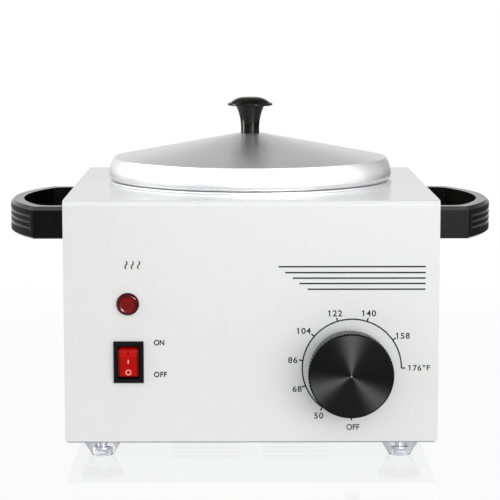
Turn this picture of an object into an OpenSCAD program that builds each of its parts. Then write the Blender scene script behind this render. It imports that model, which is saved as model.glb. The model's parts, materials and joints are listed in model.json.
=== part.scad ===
// Wax warmer: a folded steel case that holds a removable wax pot in a heated well,
// with a spun lid, two side handles, a rocker switch, a pilot lamp and a thermostat dial.
// Millimetres, +Z up, the front faces -Y, the origin is on the table at the middle of the whole object.

/* [Case] */
// Width of the case, side to side
body_w = 186; // [184:1:194]
// Depth of the case, front to back
body_d = 186; // [184:1:194]
// Height of the case above its feet
body_h = 121.5; // [120:0.5:126]
// Thickness of the sheet steel
sheet_t = 1; // [0.8:0.1:1.2]
// Outer radius of the bends along the top
bend_r = 2.7; // [2.4:0.1:4]
// Radius of the lower corners of the front and the back
corner_r = 2.2; // [1.5:0.1:4]

/* [Feet] */
// Height of a foot
foot_h = 10; // [9:0.5:12]
// Diameter of a foot against the base
foot_top_d = 21.5; // [19:0.5:22]
// Diameter of a foot on the table
foot_bottom_d = 12; // [12:0.5:15]
// From the sides of the case to the middle of a foot
foot_inset = 17.5; // [16.5:0.5:19]

/* [Pot and well] */
// Inner diameter of the wax pot
pot_d = 134; // [130:1:136]
// Depth of the wax pot inside
pot_depth = 58; // [50:1:60]
// Wall of the spun wax pot
pot_wall = 1; // [0.8:0.1:1.2]
// Diameter of the pot's rim
rim_d = 152; // [151:0.5:154]
// Thickness of the pot's rim
rim_t = 1.2; // [1:0.1:1.6]
// Space all round between the pot and the well
pot_gap = 1; // [0.8:0.1:1.2]
// Wall of the heating well
well_wall = 1.2; // [1:0.1:1.4]
// Thickness of the well's rim
well_rim_t = 0.8; // [0.6:0.1:1.2]

/* [Lid] */
// Diameter of the lid where it is widest
lid_d = 151.4; // [151:0.2:154]
// Diameter where the lid's band meets its cone
lid_shoulder_d = 145.8; // [145:0.2:149]
// Height of the band
lid_band_h = 12; // [9:0.5:13]
// Rise of the cone above the band
lid_cone_h = 12.6; // [12:0.1:16]
// Thickness of the spun lid
lid_t = 1.2; // [1:0.1:1.4]
// Diameter of the lid knob's cap
lid_knob_d = 24.1; // [22:0.1:27]
// Height of the lid knob
lid_knob_h = 19.4; // [18:0.1:22]
// Diameter of the lid knob's foot
lid_stem_d = 9.8; // [9:0.1:12]

/* [Handles] */
// Length of a handle, front to back
handle_l = 108; // [104:1:112]
// How far a handle stands out from the case
handle_reach = 35.4; // [33:0.2:38]
// Length of a handle's straight arms
handle_arm = 18.8; // [16:0.1:20]
// Height of a handle
handle_h = 16.5; // [15:0.1:17]
// Thickness of a handle's arms and grip
handle_wall = 7; // [6.6:0.1:8]
// Bevel along a handle's upper outer edges
handle_bevel = 1.8; // [1:0.1:2]
// From the top of the case down to a handle
handle_drop = 7.4; // [6:0.2:9]
// Number of finger grooves round the grip
groove_count = 3; // [2:1:3]
// Width of a finger groove
groove_d = 1.7; // [1.2:0.1:1.8]
// From one finger groove to the next
groove_pitch = 3.1; // [2.8:0.1:3.2]

/* [Dial] */
// From the middle of the case to the dial, to the right
dial_x = 48.6; // [48:0.1:52]
// From the case's lower edge up to the dial
dial_up = 37.3; // [37:0.1:39]
// Diameter of the dial knob's face
dial_d = 41.8; // [40:0.2:43]
// Diameter of the dial knob's back
dial_back_d = 40; // [39:0.2:40]
// From the front of the case to the knob's face
dial_reach = 19.6; // [18:0.2:22]
// From the front of the case to the knob's back
dial_gap = 4; // [3.6:0.2:5]

/* [Switch] */
// From the middle of the case to the switch, to the left
switch_x = 61; // [60:0.5:63]
// From the case's lower edge up to the switch
switch_up = 40.9; // [40:0.1:42]
// Width of the switch's bezel
bezel_w = 15; // [14.6:0.1:16]
// Height of the switch's bezel
bezel_h = 21; // [20.6:0.1:22]
// How far the bezel stands out from the case
bezel_t = 2; // [1.6:0.1:2.4]
// Radius of the rocker's rounded ends about its pivot
rocker_r = 7.8; // [7.6:0.1:7.9]
// Tilt of the rocker each way from the middle
rocker_tilt = 14; // [10:1:15]

/* [Lamp] */
// From the middle of the case to the lamp, to the left
lamp_x = 61.2; // [60:0.2:63]
// From the case's lower edge up to the lamp
lamp_up = 70.1; // [69:0.1:72]
// Diameter of the lens
lamp_d = 11.3; // [11:0.1:13]
// How far the lens stands out from the case
lamp_reach = 2.6; // [2.2:0.1:3.4]

/* [Cord inlet] */
// From the middle of the case to the inlet, to the left
inlet_x = 55; // [50:1:60]
// From the case's lower edge up to the inlet
inlet_up = 26; // [25:1:32]
// Bore for the cord
inlet_bore_d = 7.2; // [6.4:0.2:8]
// How far the gland stands out behind the case
inlet_reach = 9; // [8:0.5:12]

/* [Hidden] */
$fn = 72;
eps = 0.01;
fit = 0.05;      // running fit on radius, and free space round fixed pins
seat = 0.1;      // free space round pieces dropped into a pocket

// Screws as diameter, head diameter and head height; nuts as width across flats and height
screw_m3 = [3, 5.6, 2.2];
screw_m35 = [3.5, 7, 2.2];
screw_m4 = [4, 7.6, 2.4];
nut_m3 = [5.5, 2.4];
nut_m4 = [7, 3.2];
nut_gland = [17, 4];

// Main planes, measured from the axis of the pot and from the table
front_y = -body_d / 2;
back_y = body_d / 2;
case_z = foot_h;
case_top = case_z + body_h;
base_top = case_z + sheet_t;
body_y = (dial_reach - inlet_reach) / 2;

// Side panels and base
flange_w = 11;
base_screw_x = body_w / 2 - 7;
base_screw_y = 58;
base_screw_l = 9;
foot_x = body_w / 2 - foot_inset;
foot_y = body_d / 2 - foot_inset;
foot_seat = 5;   // height of the screw's seat inside a foot
foot_pocket_r = screw_m4[1] / 2 + 0.4;
foot_edge = 1;
vent_l = 36;
vent_w = 3.4;
vent_pitch = 10;
vent_rows = 4;   // rows each side of the middle
vent_x = 24;

// Pot, well and what surrounds the well
pot_r = pot_d / 2;
pot_out_r = pot_r + pot_wall;
pot_corner = 12;
well_r = pot_out_r + pot_gap;
well_out_r = well_r + well_wall;
well_rim_top = case_top + well_rim_t;
well_rim_r = rim_d / 2 - 0.6;
well_hole_r = well_out_r + 0.3;
rim_top = well_rim_top + rim_t;
pot_floor = rim_top - pot_depth;
well_floor = pot_floor - pot_wall - 1.5;
well_under = well_floor - well_wall;
ridge_r = 1.2;   // ridge on the pot's rim that centres the lid
ridge_at = pot_r + 3.4;
rivet_r = 1.2;
rivet_head = 0.8;
rivet_at = (well_hole_r + well_rim_r) / 2;
heater_z = well_under + 10;
heater_h = 26;
heater_t = 2;
heater_gap = 12; // degrees left open at the clamp
heater_r = well_out_r + fit;
lug_x = 8;
lug_t = 1.2;
lug_h = 14;
lug_out = 12;
lug_root = 1.5;
clamp_in = 5;    // from the lugs' outer edge to the clamp bolt
post_turn = 20;  // degrees from the clamp to a heater terminal
post_r = 2.2;
post_out = heater_r + heater_t + 7;
post_z = heater_z + heater_h / 2;
post_lead = 7;   // straight end of a wire on a heater terminal
wrap_r = heater_r + heater_t + 0.8;
wrap_t = 7;
wrap_gap = 72;   // degrees left open round the heater's clamp
wrap_z = well_under + 5;
wrap_h = 48;

// Thermostat bulb and thermal fuse under the well
sensor_r = 3;
sensor_nose = 1;
sensor_y = 12;
sensor_z = well_under - sensor_r;
bulb_l = 50;
fuse_l = 22;
strap_w = 12;
strap_t = 1.2;
strap_reach = sensor_y + sensor_r + 3;
strap_z = well_under - 2 * sensor_r - strap_t;
stud_r = 2;
stud_l = 2 * sensor_r + strap_t + 6;

// Lid
lid_r = lid_d / 2;
lid_shoulder_r = lid_shoulder_d / 2;
lid_z = rim_top;
shoulder_z = lid_z + lid_band_h;
crown_z = shoulder_z + lid_cone_h;
crown_r = 7;     // flat at the top that carries the knob
curl_r = 3.1;    // lower edge, rolled inwards from where the lid is widest
wide_z = lid_z + curl_r;
band_r = 15.5;   // round of the band above that, up to the cone
lid_slope = atan(lid_cone_h / (lid_shoulder_r - crown_r));
crown_under = crown_z - lid_t / cos(lid_slope);
lid_screw_l = 12;
washer_t = 0.8;
washer_d = 12;

// Lid knob
knob_top = crown_z + lid_knob_h;
cap_t = 4.6;
cap_z = knob_top - cap_t;
cap_edge = 0.7;
cap_r = lid_knob_d / 2;
dome_flat = 3;   // flat at the middle of the cap
dome_r = 11;     // round from that flat down to the cap's edge
stem_r = lid_stem_d / 2;
stem_straight = 3;   // straight foot of the stem, below its flare
neck_out = 2.8;  // how far the stem flares out under the cap
neck_h = cap_z - crown_z;
flare_h = neck_h - stem_straight;
flare_r = (pow(flare_h, 2) + pow(neck_out, 2)) / (2 * neck_out);

// Handles
handle_z = case_top - handle_drop - handle_h;
handle_mid_z = handle_z + handle_h / 2;
handle_low_bevel = 0.8; // bevel along the lower outer edges
handle_sag = handle_reach - handle_arm;
grip_r = (pow(handle_l / 2, 2) + pow(handle_sag, 2)) / (2 * handle_sag);
grip_x = body_w / 2 + handle_reach - grip_r;
grip_turn = asin(handle_l / 2 / grip_r);
groove_end = 3.5;    // from a groove's end to the corner of the arm
groove_turn = grip_turn - asin(groove_end / grip_r);
opening_corner = 9;
handle_screw_y = (handle_l - handle_wall) / 2;
handle_screw_l = 13;

// Dial and thermostat
dial_z = case_z + dial_up;
shaft_r = 3;
shaft_flat = 1.5;
shaft_in = 14;   // how far the shaft goes behind the front of the case
shaft_out = dial_reach - 4;
bush_r = 4.8;
bush_out = 1;
knob_wall = 2.2;
knob_face_t = 3;
knob_edge = 0.8;
skirt_r = dial_back_d / 2 - knob_wall;
knob_hollow = dial_reach - knob_face_t;
hub_r = 6;
rib_t = 1.6;
rib_in = 2;
inlay_r = dial_d / 2 - 0.7;
inlay_t = 0.6;
stat_w = 38;
stat_h = 34;
stat_d = 25;
stat_plate_w = 46;
stat_plate_t = 1.5;
stat_screw_x = 14;
stat_screw_l = 10;
stat_blade_w = 6.3;
stat_back = front_y + sheet_t + stat_d;
stat_blade_x = 8;
stat_blade_z = dial_z - 9;
stat_pair = 1.6;     // from a terminal's middle to each of its two wires

// Switch
switch_z = case_z + switch_up;
switch_cut_w = 13;
switch_cut_h = 19;
switch_deep = 14;
bezel_bevel = 0.6;
pivot_in = 3.8;  // from the bezel's face back to the rocker's pivot
pivot_y = front_y - bezel_t + pivot_in;
rocker_w = 10.4;
rocker_half = 41;    // half angle of the rocker's face about its pivot
face_out = rocker_r * cos(rocker_half);
face_half = rocker_r * sin(rocker_half);
rocker_dip = 0.7;    // how far the face dips in its middle
rocker_back = 2.5;
mouth_w = rocker_w + 0.4;
mouth_h = 2 * rocker_r + 0.8;
pocket_y = pivot_y + 6;
trunnion_r = 1.2;
trunnion_l = 0.8;
blade_w = 4.8;
blade_t = 0.8;
blade_l = 8;
blade_pitch = 6;
switch_back = front_y + switch_deep;

// Lamp
lamp_z = case_z + lamp_up;
lamp_tube_r = 3.9;
lamp_tube_l = 15;
lamp_bore_r = 2.9;
neon_r = 2.6;
lamp_flange = 0.8;
dish_r = 3.9;
dish_t = 0.5;
dish_edge = 0.7;
dish_slope = 0.4;
retainer_t = 1.2;
retainer_w = 2.6;
lead_r = 0.4;
lead_x = 1.35;
lead_l = 2;
lead_y = front_y + lamp_tube_l + lead_l;

// Cord inlet, terminal block and earth
inlet_z = case_z + inlet_up;
gland_r = 6.4;
gland_in = 9;
gland_flange_t = 3;
gland_flange_w = 3;
gland_taper = 1.2;
block_x = -inlet_x;
block_y = 58;
block_l = 30;
block_w = 16;
block_h = 13;
block_step = 3;  // width and drop of the step in front of and behind the clamp screws
clamp_r = 2;
clamp_deep = 4;
clamp_l = 3.4;
pole_pitch = 9.5;
pole_r = 2.6;
pole_deep = 5;
pole_z = base_top + 6;
peg_r = 1.6;
earth_x = -16;
earth_y = 66;
earth_lug_d = 8.6;
earth_lug_t = 1;
earth_screw_l = 5;

// Wires: places chosen by hand, in the space below the well
wire_r = 1.1;
wire_sides = 6;
wire_steps = 3;
pair_gap = 1.45; // half the distance between two wires in one pole
pole_in = block_y - block_w / 2 + 4;
switch_end = switch_back + blade_l;
stat_end = stat_back + blade_l;
earth_lie = base_top + wire_r + 0.3;
earth_end = earth_y - screw_m4[1] / 2 - seat;
function post_end(side, reach) = let (a = 90 + side * post_turn) [reach * cos(a), reach * sin(a), post_z];
feed_route = [
    [block_x - pole_pitch, pole_in, pole_z], [block_x - pole_pitch, 38, pole_z], [-68, 0, 18], [-64, -45, 28],
    [-switch_x, -60, switch_z - blade_pitch], [-switch_x, switch_end, switch_z - blade_pitch]];
link_route = [
    [-switch_x, switch_end, switch_z + blade_pitch], [-switch_x, -58, switch_z + blade_pitch],
    [-44, -44, 48], [0, -40, 44], [34, -42, 39], [dial_x - stat_blade_x, -50, stat_blade_z],
    [dial_x - stat_blade_x, stat_end, stat_blade_z]];
fuse_route = [
    [dial_x + stat_blade_x, stat_end, stat_blade_z - stat_pair],
    [dial_x + stat_blade_x, -48, stat_blade_z - stat_pair], [54, -20, 46], [42, 6, 60],
    [26, sensor_y, sensor_z], [fuse_l / 2, sensor_y, sensor_z]];
heater_route = [
    [-fuse_l / 2, sensor_y, sensor_z], [-24, sensor_y, sensor_z], [-34, 48, 61], [-32, 80, 64], [-30, 86, 76],
    post_end(1, post_out + post_lead), post_end(1, post_out)];
return_route = [
    post_end(-1, post_out), post_end(-1, post_out + post_lead), [30, 86, 76], [27, 82, 60],
    [0, 52, 36], [-30, 32, 20], [-46, 32, 18], [block_x + 2.4, 40, pole_z],
    [block_x + pair_gap, 46, pole_z], [block_x + pair_gap, pole_in, pole_z]];
lamp_feed_route = [
    [lead_x - lamp_x, lead_y, lamp_z], [lead_x - lamp_x, lead_y + 3, lamp_z], [4 - lamp_x, -68, 78],
    [-50, -58, 66], [-30, -50, 59], [20, -46, 52], [54, -44, 42],
    [dial_x + stat_blade_x, -50, stat_blade_z + stat_pair],
    [dial_x + stat_blade_x, stat_end, stat_blade_z + stat_pair]];
lamp_return_route = [
    [-lead_x - lamp_x, lead_y, lamp_z], [-lead_x - lamp_x, lead_y + 3, lamp_z], [-5 - lamp_x, -68, 78],
    [-72, -58, 66], [-74, -30, 40], [-60, 10, 24], [block_x - 2.4, 36, pole_z],
    [block_x - pair_gap, 46, pole_z], [block_x - pair_gap, pole_in, pole_z]];
earth_route = [
    [block_x + pole_pitch, pole_in, pole_z], [block_x + pole_pitch, 42, pole_z], [-36, 40, 15],
    [-22, 50, earth_lie], [earth_x, earth_end - 5, earth_lie], [earth_x, earth_end, earth_lie]];
capillary_r = 0.9;
capillary_route = [
    [bulb_l / 2, -sensor_y, sensor_z], [bulb_l / 2 + 12, -sensor_y, sensor_z], [48, -24, 64],
    [58, -42, 58], [dial_x + 10, stat_back + 8, dial_z + 8], [dial_x + 10, stat_back, dial_z + 8]];

steel = "Silver";
brass = "Goldenrod";
copper = "#b87333";
white = "WhiteSmoke";
black = "#1c1c1c";
aluminium = "#c4c6c8";

// Puts a piece that is drawn round the pot's axis into the object's own frame
module placed() translate([0, body_y, 0]) children();

// Runs its children at the four places left and right, front and back
module at_corners(x, y) {
    for (sx = [-1, 1], sy = [-1, 1]) translate([sx * x, sy * y, 0]) children();
}

// Extrudes a side view, drawn as y and z, from x0 to x1
module extrude_x(x0, x1) translate([x0, 0, 0]) rotate([90, 0, 90]) linear_extrude(x1 - x0) children();

// Extrudes a front view, drawn as x and z, from y0 back to y1
module extrude_y(y0, y1) translate([0, y1, 0]) rotate([90, 0, 0]) linear_extrude(y1 - y0) children();

// Turns a piece that is drawn along +Z so that it points out of the front, or out of the back
module out_front(x, z) translate([x, front_y, z]) rotate([90, 0, 0]) children();
module out_back(x, z) translate([x, back_y, z]) rotate([-90, 0, 0]) children();

// A rectangle standing on y = 0 with round upper corners
module arch_2d(w, h, r) {
    translate([-w / 2, 0]) square([w, h - r]);
    translate([-w / 2 + r, 0]) square([w - 2 * r, h]);
    for (s = [-1, 1]) translate([s * (w / 2 - r), h - r]) circle(r);
}

// A rectangle with four round corners, about its middle
module rounded_2d(w, h, r) {
    square([w - 2 * r, h], center = true);
    square([w, h - 2 * r], center = true);
    for (sx = [-1, 1], sy = [-1, 1]) translate([sx * (w / 2 - r), sy * (h / 2 - r)]) circle(r);
}

// A slot with round ends, along x
module slot_2d(l, w) {
    square([l - w, w], center = true);
    for (s = [-1, 1]) translate([s * (l - w) / 2, 0]) circle(d = w);
}

// Half section of the space inside a cup with a rounded floor
module cup_2d(r, z0, z1, corner) {
    translate([0, z0]) square([r - corner, z1 - z0]);
    translate([0, z0 + corner]) square([r, z1 - z0 - corner]);
    translate([r - corner, z0 + corner]) circle(corner);
}

// A screw along +Z whose head ends at z = 0
module pan_screw(size, l) {
    head_d = size[1];
    head_h = size[2];
    translate([0, 0, -head_h]) cylinder(h = head_h / 2, d1 = head_d - head_h, d2 = head_d);
    translate([0, 0, -head_h / 2]) cylinder(h = head_h / 2, d = head_d);
    translate([0, 0, -eps]) cylinder(h = l + eps, d = size[0]);
}

module hex_nut(size, bore_d) difference() {
    cylinder(h = size[1], d = size[0] / cos(30), $fn = 6);
    translate([0, 0, -1]) cylinder(h = size[1] + 2, d = bore_d);
}

// A flat spade terminal along +Z
module blade(w, t, l) translate([-w / 2, -t / 2, 0]) cube([w, t, l]);

function unit(v) = v / norm(v);
function spline(a, b, c, d, t) = 0.5 * (2 * b + (c - a) * t + (2 * a - 5 * b + 4 * c - d) * t * t
    + (3 * b - a - 3 * c + d) * t * t * t);
function smooth_route(p, n) = let (last = len(p) - 1) concat(
    [for (i = [0 : last - 1], s = [0 : n - 1])
        spline(p[max(i - 1, 0)], p[i], p[i + 1], p[min(i + 2, last)], s / n)],
    [p[last]]);
function tangents(p, r) = let (last = len(r) - 1) [
    unit(p[1] - p[0]),
    for (i = [1 : last - 1]) unit(r[i + 1] - r[i - 1]),
    unit(p[len(p) - 1] - p[len(p) - 2])];
function carried(t, side, i = 0) = i == len(t) ? []
    : let (s = unit(side - t[i] * (side * t[i]))) concat([s], carried(t, s, i + 1));

// A round wire swept along a route
module tube(route, r, sides, steps) {
    path = smooth_route(route, steps);
    along = tangents(route, path);
    side = carried(along, [0.31, 0.22, 0.92]);
    rings = len(path);
    points = [for (i = [0 : rings - 1], j = [0 : sides - 1])
        let (a = 360 * j / sides) path[i] + r * (cos(a) * side[i] + sin(a) * cross(along[i], side[i]))];
    walls = [for (i = [0 : rings - 2], j = [0 : sides - 1])
        let (a = i * sides + j, b = i * sides + (j + 1) % sides)
            each [[a, a + sides, b], [b, a + sides, b + sides]]];
    first = [for (j = [1 : sides - 2]) [0, j, j + 1]];
    end = (rings - 1) * sides;
    last = [for (j = [1 : sides - 2]) [end, end + j + 1, end + j]];
    polyhedron(points, concat(walls, first, last), convexity = 6);
}

// Case: front, top and back folded from one sheet
module case_wrap() color(white) placed() difference() {
    intersection() {
        extrude_x(-body_w / 2, body_w / 2) translate([0, case_z]) difference() {
            arch_2d(body_d, body_h, bend_r);
            translate([0, -1]) arch_2d(body_d - 2 * sheet_t, body_h - sheet_t + 1, bend_r - sheet_t);
        }
        extrude_y(front_y - 1, back_y + 1) translate([0, case_top])
            mirror([0, 1]) arch_2d(body_w, body_h, corner_r);
    }
    translate([0, 0, case_top - 2 * sheet_t]) cylinder(h = 4 * sheet_t, r = well_hole_r);
    rivet_places() translate([0, 0, case_top - 2 * sheet_t]) cylinder(h = 4 * sheet_t, r = rivet_r + fit);
    extrude_y(front_y - 1, front_y + 2 * sheet_t) front_holes_2d();
    out_back(-inlet_x, inlet_z) translate([0, 0, -2 * sheet_t])
        cylinder(h = 4 * sheet_t, r = gland_r + seat);
}

module front_holes_2d() {
    translate([dial_x, dial_z]) circle(bush_r + seat);
    for (s = [-1, 1]) translate([dial_x + s * stat_screw_x, dial_z]) circle(d = screw_m4[0] + 2 * seat);
    translate([-switch_x, switch_z])
        square([switch_cut_w + 2 * seat, switch_cut_h + 2 * seat], center = true);
    translate([-lamp_x, lamp_z]) circle(lamp_tube_r + seat);
}

module rivet_places() for (a = [45 : 90 : 315]) rotate(a) translate([rivet_at, 0, 0]) children();

// A flanged tray that closes one side, drawn for the right
module side_panel() difference() {
    extrude_x(body_w / 2 - flange_w, body_w / 2) translate([0, base_top])
        arch_2d(body_d - 2 * sheet_t, body_h - 2 * sheet_t, bend_r);
    extrude_x(body_w / 2 - flange_w - 1, body_w / 2 - sheet_t) translate([0, base_top + sheet_t])
        arch_2d(body_d - 4 * sheet_t, body_h - 4 * sheet_t, bend_r - sheet_t);
    handle_screw_places() translate([0, 0, -2 * sheet_t])
        cylinder(h = 4 * sheet_t, d = screw_m4[0] + 2 * fit);
    for (s = [-1, 1]) translate([base_screw_x, s * base_screw_y, base_top - sheet_t])
        cylinder(h = 3 * sheet_t, d = screw_m35[0] + 2 * fit);
}

module side_panel_left() color(white) placed() mirror([1, 0, 0]) side_panel();
module side_panel_right() color(white) placed() side_panel();

module base_plate() color(steel) placed() translate([0, 0, case_z]) linear_extrude(sheet_t) difference() {
    square([body_w - sheet_t, body_d - 2 * sheet_t - 2 * seat], center = true);
    at_corners(base_screw_x, base_screw_y) circle(d = screw_m35[0] + 2 * fit);
    at_corners(foot_x, foot_y) circle(d = screw_m4[0] + 2 * fit);
    for (s = [-1, 1], row = [-vent_rows : vent_rows])
        translate([s * vent_x, row * vent_pitch]) slot_2d(vent_l, vent_w);
    block_pegs() circle(peg_r + seat);
    translate([earth_x, earth_y]) circle(d = screw_m4[0] + 2 * fit);
}

module base_screws() color(steel) placed() at_corners(base_screw_x, base_screw_y)
    translate([0, 0, case_z]) pan_screw(screw_m35, base_screw_l);

// A tapered clear foot with a seat for its screw
module foot(sx, sy) color("#d8e4ea", 0.5) placed() translate([sx * foot_x, sy * foot_y, 0])
    rotate_extrude() difference() {
        union() {
            square([foot_bottom_d / 2 - foot_edge, 2 * foot_edge]);
            translate([foot_bottom_d / 2 - foot_edge, foot_edge]) circle(foot_edge);
            polygon([
                [0, foot_edge], [foot_bottom_d / 2, foot_edge], [foot_top_d / 2, foot_h - foot_edge],
                [foot_top_d / 2, foot_h], [0, foot_h]]);
        }
        translate([-1, -1]) square([screw_m4[0] / 2 + fit + 1, foot_h + 2]);
        translate([-1, -1]) square([foot_pocket_r + 1, foot_seat + 1]);
    }

module foot_front_left() foot(-1, -1);
module foot_front_right() foot(1, -1);
module foot_rear_left() foot(-1, 1);
module foot_rear_right() foot(1, 1);

module foot_screws() color(steel) placed() at_corners(foot_x, foot_y)
    translate([0, 0, foot_seat]) pan_screw(screw_m4, foot_h + sheet_t);

module foot_nuts() color(steel) placed() at_corners(foot_x, foot_y)
    translate([0, 0, base_top]) hex_nut(nut_m4, screw_m4[0] + 2 * fit);

// A moulded handle, drawn for the right: two arms, a bowed grip, finger grooves and bevelled edges
module handle() difference() {
    intersection() {
        translate([grip_x, 0, 0]) rotate(180) rotate_extrude() grip_section_2d();
        extrude_x(body_w / 2, body_w / 2 + handle_reach + 1) arms_section_2d();
    }
    translate([0, 0, handle_z - 1]) linear_extrude(handle_h + 2) handle_opening_2d();
    for (i = [0 : groove_count - 1])
        translate([grip_x, 0, handle_mid_z + (i - (groove_count - 1) / 2) * groove_pitch]) finger_groove();
    handle_screw_places() cylinder(h = handle_screw_l + 1, d = screw_m4[0] + 2 * fit);
}

// Bevelled upright edge of a handle at a distance r, from its foot to its top
function bevelled_edge(r) = [
    [r - handle_low_bevel, handle_z], [r, handle_z + handle_low_bevel],
    [r, handle_z + handle_h - handle_bevel], [r - handle_bevel, handle_z + handle_h]];

module grip_section_2d()
    polygon(concat([[0, handle_z]], bevelled_edge(grip_r), [[0, handle_z + handle_h]]));

module arms_section_2d() {
    edge = bevelled_edge(handle_l / 2);
    polygon(concat(edge, [for (i = [len(edge) - 1 : -1 : 0]) [-edge[i][0], edge[i][1]]]));
}

// The finger space between the arms, rounded where the arms meet the grip
module handle_opening_2d() {
    inner = handle_l / 2 - handle_wall;
    inner_r = grip_r - handle_wall;
    corner_y = inner - opening_corner;
    corner_x = grip_x + sqrt(pow(inner_r - opening_corner, 2) - pow(corner_y, 2));
    tangent_y = corner_y * inner_r / (inner_r - opening_corner);
    translate([body_w / 2 - 1, -inner]) square([corner_x - body_w / 2 + 1, 2 * inner]);
    intersection() {
        translate([grip_x, 0]) circle(inner_r);
        translate([body_w / 2 - 1, -tangent_y]) square([handle_reach, 2 * tangent_y]);
    }
    for (s = [-1, 1]) translate([corner_x, s * corner_y]) circle(opening_corner);
}

module finger_groove() {
    rotate(-groove_turn) rotate_extrude(angle = 2 * groove_turn)
        translate([grip_r, 0]) circle(d = groove_d);
    for (s = [-1, 1]) rotate(s * groove_turn) translate([grip_r - groove_d / 2, 0, 0])
        rotate([0, 90, 0]) cylinder(h = groove_d, d = groove_d + 2 * fit);
}

module handle_screw_places() {
    for (s = [-1, 1]) translate([body_w / 2 - sheet_t, s * handle_screw_y, handle_mid_z])
        rotate([0, 90, 0]) children();
}

module handle_left() color(black) placed() mirror([1, 0, 0]) handle();
module handle_right() color(black) placed() handle();

module handle_screws() color(steel) placed() for (s = [0, 1]) mirror([s, 0, 0])
    handle_screw_places() pan_screw(screw_m4, handle_screw_l);

// The fixed well that the pot hangs in, with a stud under its floor
module heating_well() color(aluminium) placed() difference() {
    union() {
        rotate_extrude() difference() {
            union() {
                cup_2d(well_out_r, well_under, well_rim_top, pot_corner + pot_gap + well_wall);
                translate([well_r, case_top]) square([well_rim_r - well_r, well_rim_t]);
            }
            cup_2d(well_r, well_floor, well_rim_top + 1, pot_corner + pot_gap);
        }
        translate([0, 0, well_under - stud_l]) cylinder(h = stud_l + well_wall / 2, r = stud_r);
    }
    rivet_places() translate([0, 0, case_top - 1]) cylinder(h = well_rim_t + 2, r = rivet_r + fit);
}

module well_rivets() color(aluminium) placed() rivet_places() {
    translate([0, 0, case_top - sheet_t - rivet_head]) cylinder(h = rivet_head, r = 2 * rivet_r);
    translate([0, 0, case_top - sheet_t - eps]) cylinder(h = sheet_t + well_rim_t + eps, r = rivet_r);
}

// Band heater with two clamp lugs and two terminal posts, its gap towards the back
module heater_band() color("DarkGray") placed() difference() {
    union() {
        rotate(90 + heater_gap / 2) rotate_extrude(angle = 360 - heater_gap)
            translate([heater_r, heater_z]) square([heater_t, heater_h]);
        for (s = [0, 1]) mirror([s, 0, 0])
            translate([lug_x, heater_r + heater_t - lug_root, post_z - lug_h / 2])
                cube([lug_t, lug_out, lug_h]);
        for (s = [-1, 1]) rotate(90 + s * post_turn) translate([heater_r + heater_t / 2, 0, post_z])
            rotate([0, 90, 0]) cylinder(h = post_out - heater_r - heater_t / 2, r = post_r);
    }
    clamp_axis() cylinder(h = 4 * lug_x, d = screw_m3[0] + 2 * fit, center = true);
}

module clamp_axis() translate([0, heater_r + heater_t + lug_out - clamp_in, post_z])
    rotate([0, 90, 0]) children();

module heater_clamp_bolt() color(steel) placed() clamp_axis()
    translate([0, 0, -lug_x - lug_t]) pan_screw(screw_m3, 2 * (lug_x + lug_t) + nut_m3[1] + 1.6);

module heater_clamp_nut() color(steel) placed() clamp_axis()
    translate([0, 0, lug_x + lug_t]) hex_nut(nut_m3, screw_m3[0] + 2 * fit);

module insulation_wrap() color("#e8dfb8") placed() rotate(90 + wrap_gap / 2)
    rotate_extrude(angle = 360 - wrap_gap) translate([wrap_r, wrap_z]) square([wrap_t, wrap_h]);

// Sensing bulb and thermal fuse, both held against the well's floor by one strap
module rod_x(l, r, nose) rotate([0, 90, 0]) {
    translate([0, 0, -l / 2]) cylinder(h = nose, r1 = r - nose, r2 = r);
    translate([0, 0, nose - l / 2]) cylinder(h = l - 2 * nose, r = r);
    translate([0, 0, l / 2 - nose]) cylinder(h = nose, r1 = r, r2 = r - nose);
}

module thermostat_bulb() color(copper) placed()
    translate([0, -sensor_y, sensor_z]) rod_x(bulb_l, sensor_r - fit, sensor_nose);
module thermal_fuse() color(steel) placed()
    translate([0, sensor_y, sensor_z]) rod_x(fuse_l, sensor_r - fit, sensor_nose);
module capillary_tube() color(copper) placed()
    tube(capillary_route, capillary_r, wire_sides, wire_steps);

module sensor_strap() color(steel) placed() difference() {
    extrude_x(-strap_w / 2, strap_w / 2) {
        translate([-strap_reach, strap_z]) square([2 * strap_reach, strap_t]);
        for (s = [-1, 1]) translate([s * (strap_reach - strap_t / 2) - strap_t / 2, strap_z])
            square([strap_t, strap_t + sensor_r]);
    }
    translate([0, 0, strap_z - 1]) cylinder(h = strap_t + 2, r = stud_r + seat);
}

module sensor_nut() color(steel) placed()
    translate([0, 0, strap_z - nut_m4[1]]) hex_nut(nut_m4, 2 * (stud_r + fit));

// Thermostat: front plate, bush and moulded body behind the front of the case
module thermostat_body() color("Linen") placed() difference() {
    union() {
        extrude_y(front_y + sheet_t, front_y + sheet_t + stat_plate_t)
            translate([dial_x, dial_z]) rounded_2d(stat_plate_w, stat_h, 3);
        extrude_y(front_y + sheet_t, stat_back) translate([dial_x, dial_z]) rounded_2d(stat_w, stat_h, 2);
        out_front(dial_x, dial_z) translate([0, 0, -2 * sheet_t])
            cylinder(h = 2 * sheet_t + bush_out, r = bush_r);
    }
    out_front(dial_x, dial_z) translate([0, 0, -shaft_in - 1])
        cylinder(h = shaft_in + bush_out + 2, r = shaft_r + fit);
    for (s = [-1, 1]) out_front(dial_x + s * stat_screw_x, dial_z)
        translate([0, 0, -stat_screw_l - 1]) cylinder(h = stat_screw_l + 2, d = screw_m4[0] + 2 * fit);
}

module thermostat_screws() color(steel) placed() for (s = [-1, 1])
    out_front(dial_x + s * stat_screw_x, dial_z) rotate([180, 0, 0]) pan_screw(screw_m4, stat_screw_l);

module thermostat_terminals() color(brass) placed() for (s = [-1, 1])
    translate([dial_x + s * stat_blade_x, stat_back, stat_blade_z])
        rotate([-90, 90, 0]) blade(stat_blade_w, blade_t, blade_l);

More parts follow.
